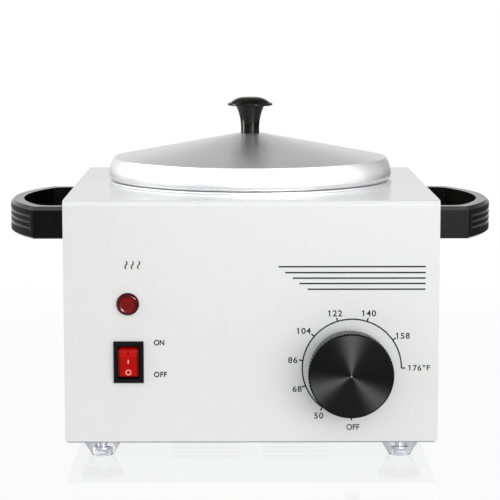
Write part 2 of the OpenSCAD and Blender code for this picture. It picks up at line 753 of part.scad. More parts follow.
module thermostat_shaft() color(steel) placed() out_front(dial_x, dial_z) difference() {
    translate([0, 0, -shaft_in]) cylinder(h = shaft_in + shaft_out, r = shaft_r);
    translate([-shaft_r, shaft_flat, dial_gap + 1]) cube([2 * shaft_r, shaft_r, shaft_out]);
}

// Hollow knob: skirt, hub with a flat for the shaft, ribs and a recess for the inlay
module dial_knob() color(black) placed() out_front(dial_x, dial_z) difference() {
    union() {
        rotate_extrude() difference() {
            union() {
                polygon([
                    [0, dial_gap], [dial_back_d / 2, dial_gap],
                    [dial_d / 2, dial_reach - knob_edge], [0, dial_reach - knob_edge]]);
                translate([0, dial_reach - 2 * knob_edge]) square([dial_d / 2 - knob_edge, 2 * knob_edge]);
                translate([dial_d / 2 - knob_edge, dial_reach - knob_edge]) circle(knob_edge);
            }
            translate([hub_r, dial_gap - 1]) square([skirt_r - hub_r, knob_hollow - dial_gap + 1]);
            translate([-1, dial_reach - inlay_t]) square([inlay_r + fit + 1, 2 * inlay_t]);
        }
        for (a = [45 : 90 : 315]) rotate(a) translate([hub_r - 0.5, -rib_t / 2, dial_gap + rib_in])
            cube([skirt_r - hub_r + 1, rib_t, knob_hollow - dial_gap - rib_in + eps]);
    }
    difference() {
        translate([0, 0, dial_gap - 1]) cylinder(h = shaft_out - dial_gap + 1 + fit, r = shaft_r + fit);
        translate([-shaft_r - 1, shaft_flat + fit, dial_gap + 1 + fit])
            cube([2 * shaft_r + 2, shaft_r, shaft_out]);
    }
}

module dial_inlay() color("#2a2a2c") placed() out_front(dial_x, dial_z)
    translate([0, 0, dial_reach - inlay_t]) cylinder(h = inlay_t, r = inlay_r);

// Switch: bevelled bezel and moulded body with a pocket for the rocker
module switch_body() color(black) placed() translate([-switch_x, 0, switch_z]) difference() {
    union() {
        intersection() {
            extrude_x(-bezel_w / 2, bezel_w / 2) bezel_side_2d(bezel_h);
            translate([0, 0, -bezel_h / 2]) linear_extrude(bezel_h) rotate(90) bezel_side_2d(bezel_w);
        }
        extrude_y(front_y - eps, switch_back) square([switch_cut_w, switch_cut_h], center = true);
    }
    extrude_y(front_y - bezel_t - 1, pocket_y) square([mouth_w, mouth_h], center = true);
    translate([0, pivot_y, 0]) rotate([0, 90, 0]) translate([0, 0, -mouth_w / 2 - trunnion_l - seat])
        cylinder(h = mouth_w + 2 * trunnion_l + 2 * seat, r = trunnion_r + fit);
}

// Section of the bezel, with its front edges bevelled
module bezel_side_2d(h) polygon([
    [front_y, -h / 2], [front_y - bezel_t / 2, -h / 2], [front_y - bezel_t, bezel_bevel - h / 2],
    [front_y - bezel_t, h / 2 - bezel_bevel], [front_y - bezel_t / 2, h / 2], [front_y, h / 2]]);

// Rocker, tilted as it stands at off, with its lower end pressed in
module switch_rocker() color("#c8201a") placed() translate([-switch_x, pivot_y, switch_z])
    rotate([rocker_tilt, 0, 0]) {
        extrude_x(-rocker_w / 2, rocker_w / 2) difference() {
            intersection() {
                circle(rocker_r);
                translate([-face_out, -rocker_r]) square([face_out + rocker_back, 2 * rocker_r]);
            }
            polygon([
                [-rocker_r, -face_half], [-face_out, -face_half], [rocker_dip - face_out, 0],
                [-face_out, face_half], [-rocker_r, face_half]]);
        }
        rotate([0, 90, 0]) cylinder(h = rocker_w + 2 * trunnion_l, r = trunnion_r, center = true);
    }

module switch_terminals() color(brass) placed() for (i = [-1 : 1])
    translate([-switch_x, switch_back, switch_z + i * blade_pitch])
        rotate([-90, 0, 0]) blade(blade_w, blade_t, blade_l);

// Pilot lamp: moulded lens with a dished face, neon bulb and push-on retainer
module lamp_lens() color("#9c0d0d") placed() out_front(-lamp_x, lamp_z) rotate_extrude() difference() {
    union() {
        polygon([
            [0, 0], [lamp_d / 2, 0], [lamp_d / 2, lamp_flange], [dish_r + dish_edge, lamp_reach],
            [dish_r, lamp_reach], [dish_r - dish_slope, lamp_reach - dish_t], [0, lamp_reach - dish_t]]);
        translate([0, -lamp_tube_l]) square([lamp_tube_r, lamp_tube_l + eps]);
    }
    translate([0, -lamp_tube_l - 1]) square([lamp_bore_r, lamp_tube_l + 1]);
}

module lamp_retainer() color(steel) placed() out_front(-lamp_x, lamp_z)
    translate([0, 0, -sheet_t - retainer_t]) difference() {
        cylinder(h = retainer_t, r = lamp_tube_r + retainer_w);
        translate([0, 0, -1]) cylinder(h = retainer_t + 2, r = lamp_tube_r + fit);
    }

module lamp_neon() color("#e8b090") placed() out_front(-lamp_x, lamp_z) {
    translate([0, 0, -lamp_tube_l]) cylinder(h = lamp_tube_l - neon_r - seat, r = neon_r);
    translate([0, 0, -neon_r - seat]) sphere(neon_r);
    for (s = [-1, 1]) translate([s * lead_x, 0, -lamp_tube_l - lead_l]) cylinder(h = 2 * lead_l, r = lead_r);
}

// Gland for the cord, through the back, with its nut inside
module cord_gland() color(black) placed() out_back(-inlet_x, inlet_z) difference() {
    union() {
        translate([0, 0, -gland_in]) cylinder(h = gland_in + 1, r = gland_r);
        cylinder(h = gland_flange_t, r = gland_r + gland_flange_w);
        translate([0, 0, gland_flange_t - eps])
            cylinder(h = inlet_reach - gland_flange_t + eps, r1 = gland_r + gland_taper, r2 = gland_r);
    }
    translate([0, 0, -gland_in - 1]) cylinder(h = gland_in + inlet_reach + 2, d = inlet_bore_d);
}

module gland_nut() color(black) placed() out_back(-inlet_x, inlet_z)
    translate([0, 0, -sheet_t - nut_gland[1]]) hex_nut(nut_gland, 2 * (gland_r + fit));

// Terminal block on the base: three poles with clamp screws
module pole_places() for (i = [-1 : 1]) translate([block_x + i * pole_pitch, block_y, 0]) children();
module block_pegs() for (s = [-1, 1]) translate([block_x + s * pole_pitch / 2, block_y]) children();

module terminal_block() color("Ivory") placed() difference() {
    union() {
        extrude_x(block_x - block_l / 2, block_x + block_l / 2) translate([block_y, base_top]) {
            arch_2d(block_w, block_h - block_step, 1);
            arch_2d(block_w - 2 * block_step, block_h, 1);
        }
        block_pegs() translate([0, 0, case_z]) cylinder(h = 2 * sheet_t, r = peg_r);
    }
    pole_places() {
        for (s = [-1, 1]) translate([0, s * block_w / 2, pole_z]) rotate([90, 0, 0])
            cylinder(h = 2 * pole_deep, r = pole_r, center = true);
        translate([0, 0, base_top + block_h - clamp_deep]) cylinder(h = clamp_deep + 1, r = clamp_r);
    }
}

module terminal_screws() color(brass) placed() pole_places()
    translate([0, 0, base_top + block_h - clamp_deep]) cylinder(h = clamp_l, r = clamp_r - fit);

module earth_screw() color(brass) placed() translate([earth_x, earth_y, base_top + earth_lug_t])
    mirror([0, 0, 1]) pan_screw(screw_m4, earth_screw_l);

// Wires between the inlet, switch, thermostat, fuse, heater and lamp
module wire(route) tube(route, wire_r, wire_sides, wire_steps);

module wires_live() color("#7a4a2a") placed() {
    wire(feed_route);
    wire(link_route);
    wire(fuse_route);
    wire(heater_route);
    wire(lamp_feed_route);
}

module wires_neutral() color("RoyalBlue") placed() {
    wire(return_route);
    wire(lamp_return_route);
}

module wire_earth() color("YellowGreen") placed() {
    wire(earth_route);
    translate([earth_x, earth_y, base_top]) difference() {
        cylinder(h = earth_lug_t, d = earth_lug_d);
        translate([0, 0, -1]) cylinder(h = earth_lug_t + 2, d = screw_m4[0] + 2 * fit);
    }
}

// Spun wax pot: its rim rests on the well's rim and has a ridge that centres the lid
module wax_pot() color(aluminium) placed() rotate_extrude() difference() {
    union() {
        cup_2d(pot_out_r, pot_floor - pot_wall, rim_top, pot_corner + pot_wall);
        translate([pot_r, well_rim_top]) square([rim_d / 2 - rim_t / 2 - pot_r, rim_t]);
        translate([rim_d / 2 - rim_t / 2, rim_top - rim_t / 2]) circle(rim_t / 2);
        intersection() {
            translate([ridge_at, rim_top - 0.2]) circle(ridge_r);
            translate([pot_r, well_rim_top]) square([rim_d / 2 - pot_r, 3 * ridge_r]);
        }
    }
    cup_2d(pot_r, pot_floor, rim_top + 1, pot_corner);
}

// Outer half section of the lid, drawn in by t for its inner face
module lid_2d(t) {
    drop = t / cos(lid_slope);
    band_x = lid_r - band_r;
    curl_x = lid_r - curl_r;
    under_z = lid_z - curl_r;
    intersection() {
        polygon([
            [0, under_z], [lid_r, under_z], [lid_r, cone_z(lid_r) - drop],
            [crown_r, crown_z - drop], [0, crown_z - drop]]);
        union() {
            translate([0, lid_z - t]) square([curl_x, curl_r + t]);
            intersection() {
                translate([curl_x, wide_z]) circle(curl_r - t);
                translate([curl_x, under_z]) square([curl_r, 2 * curl_r]);
            }
            translate([0, wide_z]) square([band_x, lid_cone_h + lid_band_h]);
            intersection() {
                translate([band_x, wide_z]) circle(band_r - t);
                translate([band_x, wide_z]) square(2 * band_r);
            }
        }
    }
}

// Height of the cone's outer face at a distance r from the axis
function cone_z(r) = shoulder_z + (lid_shoulder_r - r) * tan(lid_slope);

// Spun lid: cone, convex band and a lower edge that is rolled inwards
module lid() color(aluminium) placed() difference() {
    rotate_extrude() difference() {
        lid_2d(0);
        lid_2d(lid_t);
    }
    translate([0, 0, crown_z - 3]) cylinder(h = 6, d = screw_m4[0] + 2 * fit);
}

// Moulded mushroom knob: domed cap on a stem that flares into it
module lid_knob() color(black) placed() difference() {
    rotate_extrude() {
        translate([0, cap_z]) square([dome_flat, cap_t]);
        intersection() {
            translate([dome_flat, knob_top - dome_r]) circle(dome_r);
            translate([0, cap_z]) square([cap_r - cap_edge, cap_t]);
        }
        translate([cap_r - cap_edge, cap_z + cap_edge]) circle(cap_edge);
        translate([0, crown_z]) square([stem_r, neck_h + cap_edge]);
        difference() {
            translate([0, crown_z + stem_straight]) square([stem_r + neck_out, flare_h + cap_edge]);
            translate([stem_r + flare_r, crown_z + stem_straight]) circle(flare_r);
        }
    }
    translate([0, 0, crown_z - 1]) cylinder(h = lid_screw_l, d = screw_m4[0] + 2 * fit);
}

module lid_knob_washer() color(steel) placed() translate([0, 0, crown_under - washer_t]) difference() {
    cylinder(h = washer_t, d = washer_d);
    translate([0, 0, -1]) cylinder(h = washer_t + 2, d = screw_m4[0] + 2 * fit);
}

module lid_knob_screw() color(steel) placed()
    translate([0, 0, crown_under - washer_t]) pan_screw(screw_m4, lid_screw_l);

case_wrap();
side_panel_left();
side_panel_right();
base_plate();
base_screws();
foot_front_left();
foot_front_right();
foot_rear_left();
foot_rear_right();
foot_screws();
foot_nuts();
handle_left();
handle_right();
handle_screws();
heating_well();
well_rivets();
heater_band();
heater_clamp_bolt();
heater_clamp_nut();
insulation_wrap();
thermostat_bulb();
capillary_tube();
thermal_fuse();
sensor_strap();
sensor_nut();
thermostat_body();
thermostat_screws();
thermostat_terminals();
thermostat_shaft();
dial_knob();
dial_inlay();
switch_body();
switch_rocker();
switch_terminals();
lamp_lens();
lamp_retainer();
lamp_neon();
cord_gland();
gland_nut();
terminal_block();
terminal_screws();
earth_screw();
wires_live();
wires_neutral();
wire_earth();
wax_pot();
lid();
lid_knob();
lid_knob_washer();
lid_knob_screw();
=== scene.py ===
# %% [markdown]
# # A wax warmer, dressed in Blender
# The construction is already solved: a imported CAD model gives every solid, every joint and every place.
# This lesson loads that model as a fixed frame, softens its crisp edges the way sheet metal and moulded
# plastic are softened, prints the scales on its front and gives each surface the finish of the real
# material.

# %% Load the frame
import json
import math

import bmesh
import bpy
from mathutils import Matrix, Vector


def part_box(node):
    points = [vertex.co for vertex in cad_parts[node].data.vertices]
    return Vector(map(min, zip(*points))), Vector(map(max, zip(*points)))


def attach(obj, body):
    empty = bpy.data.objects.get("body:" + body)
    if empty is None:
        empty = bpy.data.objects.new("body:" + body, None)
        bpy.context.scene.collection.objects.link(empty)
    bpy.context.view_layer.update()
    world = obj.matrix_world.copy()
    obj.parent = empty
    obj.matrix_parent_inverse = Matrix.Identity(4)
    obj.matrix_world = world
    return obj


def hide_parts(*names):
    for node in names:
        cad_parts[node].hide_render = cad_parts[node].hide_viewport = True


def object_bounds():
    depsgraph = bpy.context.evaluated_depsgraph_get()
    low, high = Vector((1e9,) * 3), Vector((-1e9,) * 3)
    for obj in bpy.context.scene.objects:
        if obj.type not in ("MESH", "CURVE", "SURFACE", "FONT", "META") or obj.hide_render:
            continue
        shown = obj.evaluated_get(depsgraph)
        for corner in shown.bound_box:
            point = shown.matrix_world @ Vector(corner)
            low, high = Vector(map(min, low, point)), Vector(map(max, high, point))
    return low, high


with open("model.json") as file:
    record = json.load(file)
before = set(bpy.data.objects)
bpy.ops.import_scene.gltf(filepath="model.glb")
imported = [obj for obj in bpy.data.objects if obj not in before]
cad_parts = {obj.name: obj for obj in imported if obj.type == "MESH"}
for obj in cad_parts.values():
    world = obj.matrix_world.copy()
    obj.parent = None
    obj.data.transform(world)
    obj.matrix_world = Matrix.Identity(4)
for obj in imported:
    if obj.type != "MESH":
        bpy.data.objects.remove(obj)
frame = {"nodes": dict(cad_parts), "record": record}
nodes = frame["nodes"]
joints = {joint["name"]: joint for joint in frame["record"]["behaviour"]["joints"]}
cad_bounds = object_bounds()
MM = 0.001
print("CAD nodes:", len(nodes))
print("CAD box in mm:", [round(side / MM, 1) for side in cad_bounds[1] - cad_bounds[0]])

# %% [markdown]
# ## The camera
# A product photograph of this kind is taken with a long lens, a metre away and a little above the object,
# so that the case keeps its square look. A camera could be placed by eye, but every edge would then be a
# few pixels off. The focal length and the place below were solved from the case's edges and the round rims.
# The picture is square, so the lens follows from the focal length in pixels.

# %% Camera at the photograph's viewpoint
PICTURE_PX = 500
FOCAL_PX = 1911.8
SENSOR_MM = 36
CAMERA_MM = (-7.606, -1021.93, 232.015)
PITCH_DOWN = 7.621
YAW_RIGHT = 0.421
scene = bpy.context.scene
scene.view_settings.view_transform = "Standard"
camera_lens = bpy.data.cameras.new("photo_camera")
camera_lens.sensor_width = SENSOR_MM
camera_lens.lens = FOCAL_PX * SENSOR_MM / PICTURE_PX
camera = bpy.data.objects.new("photo_camera", camera_lens)
camera.location = Vector(CAMERA_MM) * MM
camera.rotation_euler = (math.radians(90 - PITCH_DOWN), 0, math.radians(-YAW_RIGHT))
scene.collection.objects.link(camera)
scene.camera = camera
print("lens in mm:", round(camera_lens.lens, 1))

# %% [markdown]
# ## Building with nodes
# Every finish, the floor and the world are node trees. One small function adds a node, sets its options and
# links its sockets, which keeps a recipe readable from top to bottom. Colours are written as sRGB hex, the
# way a colour chart gives them, and turned to linear light once.

# %% Colour and node helpers
# the span in which most of a noise lies
NOISE_LOW = 0.3
NOISE_HIGH = 0.7


def linear(colour):
    """An sRGB hex colour as linear red, green, blue and alpha."""
    channels = [int(colour[i:i + 2], 16) / 255 for i in (1, 3, 5)]
    return [c / 12.92 if c <= 0.04045 else ((c + 0.055) / 1.055) ** 2.4 for c in channels] + [1.0]


def add(tree, kind, inputs=None, **options):
    """Adds a node. Options are its settings; inputs maps a socket to a value or another node's output."""
    node = tree.nodes.new("ShaderNode" + kind)
    for option, value in options.items():
        setattr(node, option, value)
    for socket, value in (inputs or {}).items():
        if isinstance(value, bpy.types.NodeSocket):
            tree.links.new(value, node.inputs[socket])
        else:
            node.inputs[socket].default_value = value
    return node


def start_finish(name, **sockets):
    """A new material with its Principled shader set, and its Object coordinates in millimetres."""
    material = bpy.data.materials.new(name)
    material.use_nodes = True
    tree = material.node_tree
    shader = tree.nodes["Principled BSDF"]
    for socket, value in sockets.items():
        shader.inputs[socket.replace("_", " ")].default_value = value
    place = add(tree, "TexCoord").outputs["Object"]
    place_mm = add(tree, "Mapping", {"Vector": place, "Scale": (1 / MM,) * 3}).outputs[0]
    return material, tree, shader, place_mm


def wire(tree, shader, **outputs):
    """Links the outputs of a recipe to the shader's sockets of the same names."""
    for socket, output in outputs.items():
        tree.links.new(output, shader.inputs[socket.replace("_", " ")])


print("white is", linear("#FFFFFF"), "and mid grey", [round(c, 3) for c in linear("#808080")])

# %% [markdown]
# ## The studio
# The object stands on a pale sheet in front of a white sweep. The walls of a studio could be modelled, but
# the camera sees them only as reflections, so the world draws them from the direction of a ray. To the
# camera it is white. To metal and glass it shows a sweep behind the object that fades upwards, a tent of
# bright cloth at the sides and in front, a dimmer corner at the back right, and a dark room overhead and
# below the horizon. The dark room keeps black plastic black and gives the metal its shade.

# %% Studio walls in the world
ROOM = 0.14
SWEEP_LOW = 0.93
SWEEP_HIGH = 0.34
SWEEP_TOP = (math.sin(math.radians(10)), math.sin(math.radians(36)))
SWEEP_SIDE = (0.6, 0.85)
TENT = 1.45
TENT_TOP = (math.sin(math.radians(52)), math.sin(math.radians(68)))
STUDIO_FOOT = (math.sin(math.radians(-8)), math.sin(math.radians(1)))
CORNER = 0.5
CORNER_EDGE = (0.78, 0.97)
BACK_RIGHT = (math.sqrt(0.5), math.sqrt(0.5), 0)
world = bpy.data.worlds.new("studio")
scene.world = world
world.use_nodes = True
tree = world.node_tree
tree.nodes.clear()
direction = add(tree, "TexCoord").outputs["Generated"]
upward = add(tree, "SeparateXYZ", {0: direction}).outputs["Z"]
level = add(tree, "VectorMath", {0: direction, 1: (1, 1, 0)}, operation="MULTIPLY")
compass = add(tree, "VectorMath", {0: level.outputs[0]}, operation="NORMALIZE").outputs[0]

sweep = add(tree, "MapRange", {
    "Value": upward, "From Min": SWEEP_TOP[0], "From Max": SWEEP_TOP[1], "To Min": SWEEP_LOW,
    "To Max": SWEEP_HIGH}, interpolation_type="SMOOTHSTEP")
under_top = add(tree, "MapRange", {
    "Value": upward, "From Min": TENT_TOP[0], "From Max": TENT_TOP[1], "To Min": 1.0, "To Max": 0.0},
    interpolation_type="SMOOTHSTEP")
tent = add(tree, "Mix", {0: under_top.outputs[0], 2: ROOM, 3: TENT})
back = add(tree, "VectorMath", {0: compass, 1: (0, 1, 0)}, operation="DOT_PRODUCT")
behind = add(tree, "MapRange", {
    "Value": back.outputs["Value"], "From Min": SWEEP_SIDE[0], "From Max": SWEEP_SIDE[1]},
    interpolation_type="SMOOTHSTEP")
studio = add(tree, "Mix", {0: behind.outputs[0], 2: tent.outputs[0], 3: sweep.outputs[0]})
above_foot = add(tree, "MapRange", {
    "Value": upward, "From Min": STUDIO_FOOT[0], "From Max": STUDIO_FOOT[1]},
    interpolation_type="SMOOTHSTEP")
studio = add(tree, "Mix", {0: above_foot.outputs[0], 2: ROOM, 3: studio.outputs[0]})
back_right = add(tree, "VectorMath", {0: compass, 1: BACK_RIGHT}, operation="DOT_PRODUCT")
corner = add(tree, "MapRange", {
    "Value": back_right.outputs["Value"], "From Min": CORNER_EDGE[0], "From Max": CORNER_EDGE[1],
    "To Min": 1.0, "To Max": CORNER}, interpolation_type="SMOOTHSTEP")
studio = add(tree, "Math", {0: studio.outputs[0], 1: corner.outputs[0]}, operation="MULTIPLY")
print("wall nodes:", len(tree.nodes))

# %% [markdown]
# Each kind of ray sees its own part of the studio. Gloss and glass see the walls. Matt surfaces could take
# their light from the walls too, but one even light from all round is easier to balance with the lamps. The
# camera sees plain white.

# %% What each ray sees
AMBIENT = 0.3
ray = add(tree, "LightPath")
mirrored = add(tree, "Math", {0: ray.outputs["Is Glossy Ray"], 1: ray.outputs["Is Transmission Ray"]},
               operation="MAXIMUM")
seen = add(tree, "Mix", {0: mirrored.outputs[0], 2: AMBIENT, 3: studio.outputs[0]})
shown = add(tree, "Mix", {0: ray.outputs["Is Camera Ray"], 2: seen.outputs[0], 3: 1.0})
sky = add(tree, "Background", {"Color": linear("#FFFFFF"), "Strength": shown.outputs[0]})
add(tree, "OutputWorld", {"Surface": sky.outputs[0]})
print("world nodes:", len(tree.nodes))

# %% [markdown]
# The floor is a disc of paper. To show a lit floor as white would take more light than the object can bear,
# so it gives most of its white by itself, and the small share that is lit keeps a soft shadow. Near the
# object a thin gloss mirrors the front and the feet. It is clear from below, so that the underside can be
# looked at.

# %% Floor paper
FLOOR_SHARE = 0.96
FLOOR_NEAR = 0.2
FLOOR_FAR = 0.6
FLOOR_ROUGHNESS = 0.06
FLOOR_IOR = 1.15
floor_paper = bpy.data.materials.new("white_gloss_sheet")
floor_paper.use_nodes = True
tree = floor_paper.node_tree
tree.nodes.clear()
ray = add(tree, "LightPath")
looked_at = add(tree, "Math", {0: ray.outputs["Is Camera Ray"], 1: ray.outputs["Is Glossy Ray"]},
                operation="MAXIMUM")
looked_at = add(tree, "Math", {0: looked_at.outputs[0], 1: ray.outputs["Is Transmission Ray"]},
                operation="MAXIMUM")
from_middle = add(tree, "VectorMath", {0: add(tree, "TexCoord").outputs["Object"]}, operation="LENGTH")
far = add(tree, "MapRange", {
    "Value": from_middle.outputs["Value"], "From Min": FLOOR_NEAR, "From Max": FLOOR_FAR},
    interpolation_type="SMOOTHSTEP")
share = add(tree, "Mix", {0: far.outputs[0], 2: FLOOR_SHARE, 3: 1.0})
share = add(tree, "Math", {0: share.outputs[0], 1: looked_at.outputs[0]}, operation="MULTIPLY")
lit = add(tree, "BsdfDiffuse", {"Color": linear("#C8C8C8")})
plain = add(tree, "Emission", {"Color": linear("#FFFFFF")})
sheet = add(tree, "MixShader", {0: share.outputs[0], 1: lit.outputs[0], 2: plain.outputs[0]})
gloss = add(tree, "BsdfGlossy", {"Color": linear("#FFFFFF"), "Roughness": FLOOR_ROUGHNESS})
edge_on = add(tree, "Fresnel", {"IOR": FLOOR_IOR})
mirror = add(tree, "Mix", {0: far.outputs[0], 2: edge_on.outputs[0], 3: 0.0})
surface = add(tree, "MixShader", {0: mirror.outputs[0], 1: sheet.outputs[0], 2: gloss.outputs[0]})
from_below = add(tree, "NewGeometry").outputs["Backfacing"]
clear = add(tree, "BsdfTransparent")
surface = add(tree, "MixShader", {0: from_below, 1: surface.outputs[0], 2: clear.outputs[0]})
add(tree, "OutputMaterial", {"Surface": surface.outputs[0]})
print(floor_paper.name, "nodes:", len(tree.nodes))

# %% [markdown]
# The paper itself needs no thickness. A square plane would do, but its corners would show from above, so it
# is a round face, much wider than the object.

# %% Floor disc
FLOOR_R = 0.7
FLOOR_SEGMENTS = 64
bm = bmesh.new()
bmesh.ops.create_circle(bm, cap_ends=True, radius=FLOOR_R, segments=FLOOR_SEGMENTS)
floor_mesh = bpy.data.meshes.new("floor")
bm.to_mesh(floor_mesh)
bm.free()
floor_mesh.materials.append(floor_paper)
floor = bpy.data.objects.new("floor", floor_mesh)
scene.collection.objects.link(floor)
print("floor radius in m:", FLOOR_R)

# %% [markdown]
# The lamps are softboxes: rectangles of even light. Spots would throw hard shadows, and a softbox draws a
# soft line on gloss. One straight overhead lights every bevel and groove, a big one above the camera and
# one level with the object light the front, and one at the left fills the rim of the lid. Two at the right
# and behind light the sides that the camera doesn't see, and metal doesn't mirror them. Their brightness is
# given as radiance, about what a mirror would show.

# %% Softboxes
middle = Vector((0, 0, (cad_bounds[0].z + cad_bounds[1].z) / 2))


def softbox(name, azimuth, elevation, distance, width, height, radiance):
    """A rectangle of light, aimed at the object's middle. Azimuth 0 is the camera's side and turns right."""
    turn = math.radians(azimuth)
    lift = math.radians(elevation)
    way = Vector((math.sin(turn) * math.cos(lift), -math.cos(turn) * math.cos(lift), math.sin(lift)))
    light = bpy.data.lights.new(name, "AREA")
    light.shape = "RECTANGLE"
    light.size = width
    light.size_y = height
    light.energy = radiance * math.pi * width * height
    lamp = bpy.data.objects.new(name, light)
    lamp.location = middle + way * distance
    lamp.rotation_euler = (-way).to_track_quat("-Z", "Y").to_euler()
    lamp.visible_camera = False
    scene.collection.objects.link(lamp)
    return lamp


# azimuth and elevation in degrees, distance, width and height in metres, and radiance
softbox("overhead", 0, 82, 1.2, 0.8, 0.2, 5.8)
softbox("front_top", 8, 27, 1.5, 1.7, 0.9, 1.26)
softbox("front_low", 24, 5, 1.3, 1.5, 0.6, 2.45)
softbox("left_fill", -80, 30, 1.3, 1.2, 0.8, 1.2)
for name, azimuth in (("right_fill", 105), ("back_fill", 180)):
    softbox(name, azimuth, 20, 1.4, 1.5, 0.8, 0.95).visible_glossy = False

# %% [markdown]
# ## White powder coat
# The case is sheet steel sprayed with powder and baked. The powder melts into a satin skin with a faint
# orange peel, a millimetre or two from crest to crest, and a finer grit in the gloss. A plain white shader
# would look like paper, so one noise makes the peel and another the grit. The colour is a neutral white.
# Along the lower edge a fine grey line is painted into the tint, as painted shade where the edge meets the
# shadow under the case.

# %% Powder coat
PEEL_MM = 1.6
PEEL_DEPTH_MM = 0.02
# The grit is finer on the real coat; it is drawn coarse enough to show.
GRIT_MM = 0.5
EDGE_SHADE_MM = (0.3, 0.8)
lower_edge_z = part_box("case_wrap")[0].z / MM
powder_coat, tree, shader, place_mm = start_finish("white_powder_coat", IOR=1.5)
peel = add(tree, "TexNoise", {"Vector": place_mm, "Scale": 1 / PEEL_MM, "Detail": 1.0})
grit = add(tree, "TexNoise", {"Vector": place_mm, "Scale": 1 / GRIT_MM, "Detail": 2.0})
tint = add(tree, "Mix", {0: peel.outputs["Fac"], 6: linear("#E7E8E7"), 7: linear("#EBECEB")},
           data_type="RGBA")
height = add(tree, "SeparateXYZ", {0: place_mm}).outputs["Z"]
# Painted shade: a fine grey line in the tint along the lower edge, where the case meets its shadow.
lower_edge_shade = add(tree, "MapRange", {
    "Value": height, "From Min": lower_edge_z + EDGE_SHADE_MM[0], "From Max": lower_edge_z + EDGE_SHADE_MM[1],
    "To Min": 1.0, "To Max": 0.0}, interpolation_type="SMOOTHSTEP")
tint = add(tree, "Mix", {0: lower_edge_shade.outputs[0], 6: tint.outputs[2], 7: linear("#8E9294")}, data_type="RGBA")
gloss = add(tree, "MapRange", {"Value": grit.outputs["Fac"], "To Min": 0.16, "To Max": 0.28})
skin = add(tree, "Bump", {"Height": peel.outputs["Fac"], "Strength": 0.2, "Distance": PEEL_DEPTH_MM * MM})
wire(tree, shader, Base_Color=tint.outputs[2], Roughness=gloss.outputs[0], Normal=skin.outputs[0])
print(powder_coat.name, "peel in mm:", PEEL_MM)

# %% [markdown]
# ## Spun aluminium
# The lid, the pot and the well are pressed over a turning form by a roller. The roller leaves fine rings
# round the axis, so light spreads across the rings and draws wedges of light and shade on the cone. Rings
# cut into the mesh would need millions of faces. The shader gets the same from anisotropy: its tangent runs
# round the axis, and a quarter turn sets the spread across the rings.

# %% Spun aluminium
# The roller's marks are finer than this; they are drawn coarse enough to show.
RING_MM = 0.6
RING_DEPTH_MM = 0.01
SMEAR_MM = 9.0
SMEAR_SHARE = 0.35
lid_low, lid_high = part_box("lid")
pot_axis = (lid_low + lid_high) / 2


def round_axis(tree, place_mm, axis_point, axis):
    """Coordinates centred on an axis, and the direction that runs round it, turned into world space."""
    back_to_axis = [-c / MM for c in axis_point]
    centred = add(tree, "Mapping", {"Vector": place_mm, "Location": back_to_axis}).outputs[0]
    along = add(tree, "VectorMath", {0: axis, 1: centred}, operation="CROSS_PRODUCT").outputs[0]
    around = add(tree, "VectorTransform", {0: along}, vector_type="VECTOR", convert_from="OBJECT",
                 convert_to="WORLD").outputs[0]
    return centred, around


spun_aluminium, tree, shader, place_mm = start_finish(
    "spun_aluminium", Metallic=1.0, Anisotropic=0.4, Anisotropic_Rotation=0.25)
centred, around = round_axis(tree, place_mm, (pot_axis.x, pot_axis.y, 0), (0, 0, 1))
parts = add(tree, "SeparateXYZ", {0: centred})
flat = add(tree, "CombineXYZ", {"X": parts.outputs["X"], "Y": parts.outputs["Y"]})
radius = add(tree, "VectorMath", {0: flat.outputs[0]}, operation="LENGTH")
along = add(tree, "Math", {0: radius.outputs["Value"], 1: parts.outputs["Z"]}, operation="ADD")
rings = add(tree, "TexNoise", {"W": along.outputs[0], "Scale": 1 / RING_MM, "Detail": 3.0},
            noise_dimensions="1D")
smear = add(tree, "TexNoise", {"Vector": place_mm, "Scale": 1 / SMEAR_MM, "Detail": 2.0})
wear = add(tree, "Mix", {0: SMEAR_SHARE, 2: rings.outputs["Fac"], 3: smear.outputs["Fac"]})
tint = add(tree, "Mix", {0: rings.outputs["Fac"], 6: linear("#E8E8E9"), 7: linear("#F2F2F3")},
           data_type="RGBA")
gloss = add(tree, "MapRange", {
    "Value": wear.outputs[0], "From Min": NOISE_LOW, "From Max": NOISE_HIGH, "To Min": 0.28,
    "To Max": 0.38})
skin = add(tree, "Bump", {"Height": rings.outputs["Fac"], "Strength": 0.2, "Distance": RING_DEPTH_MM * MM})
wire(tree, shader, Base_Color=tint.outputs[2], Roughness=gloss.outputs[0], Normal=skin.outputs[0],
     Tangent=around)
print(spun_aluminium.name, "axis in mm:", [round(c / MM, 2) for c in pot_axis])

# %% [markdown]
# ## Black mouldings
# Handles and lid knob are pressed from black phenolic, a hard heat-proof plastic that comes out of a
# polished mould with a smooth skin and a faint flow in its gloss. The knob was buffed as well. The dial is
# ABS, a little softer in its gloss, and the switch and the cord gland are nylon, which is matt. All are
# near black, and almost all that is seen of them is reflection, so one recipe serves for the four with its
# own gloss for each.

# %% Black plastics
# how many grains lie across one cloud of tone
GRAINS_IN_CLOUD = 12
MOULD_DEPTH_MM = 0.01


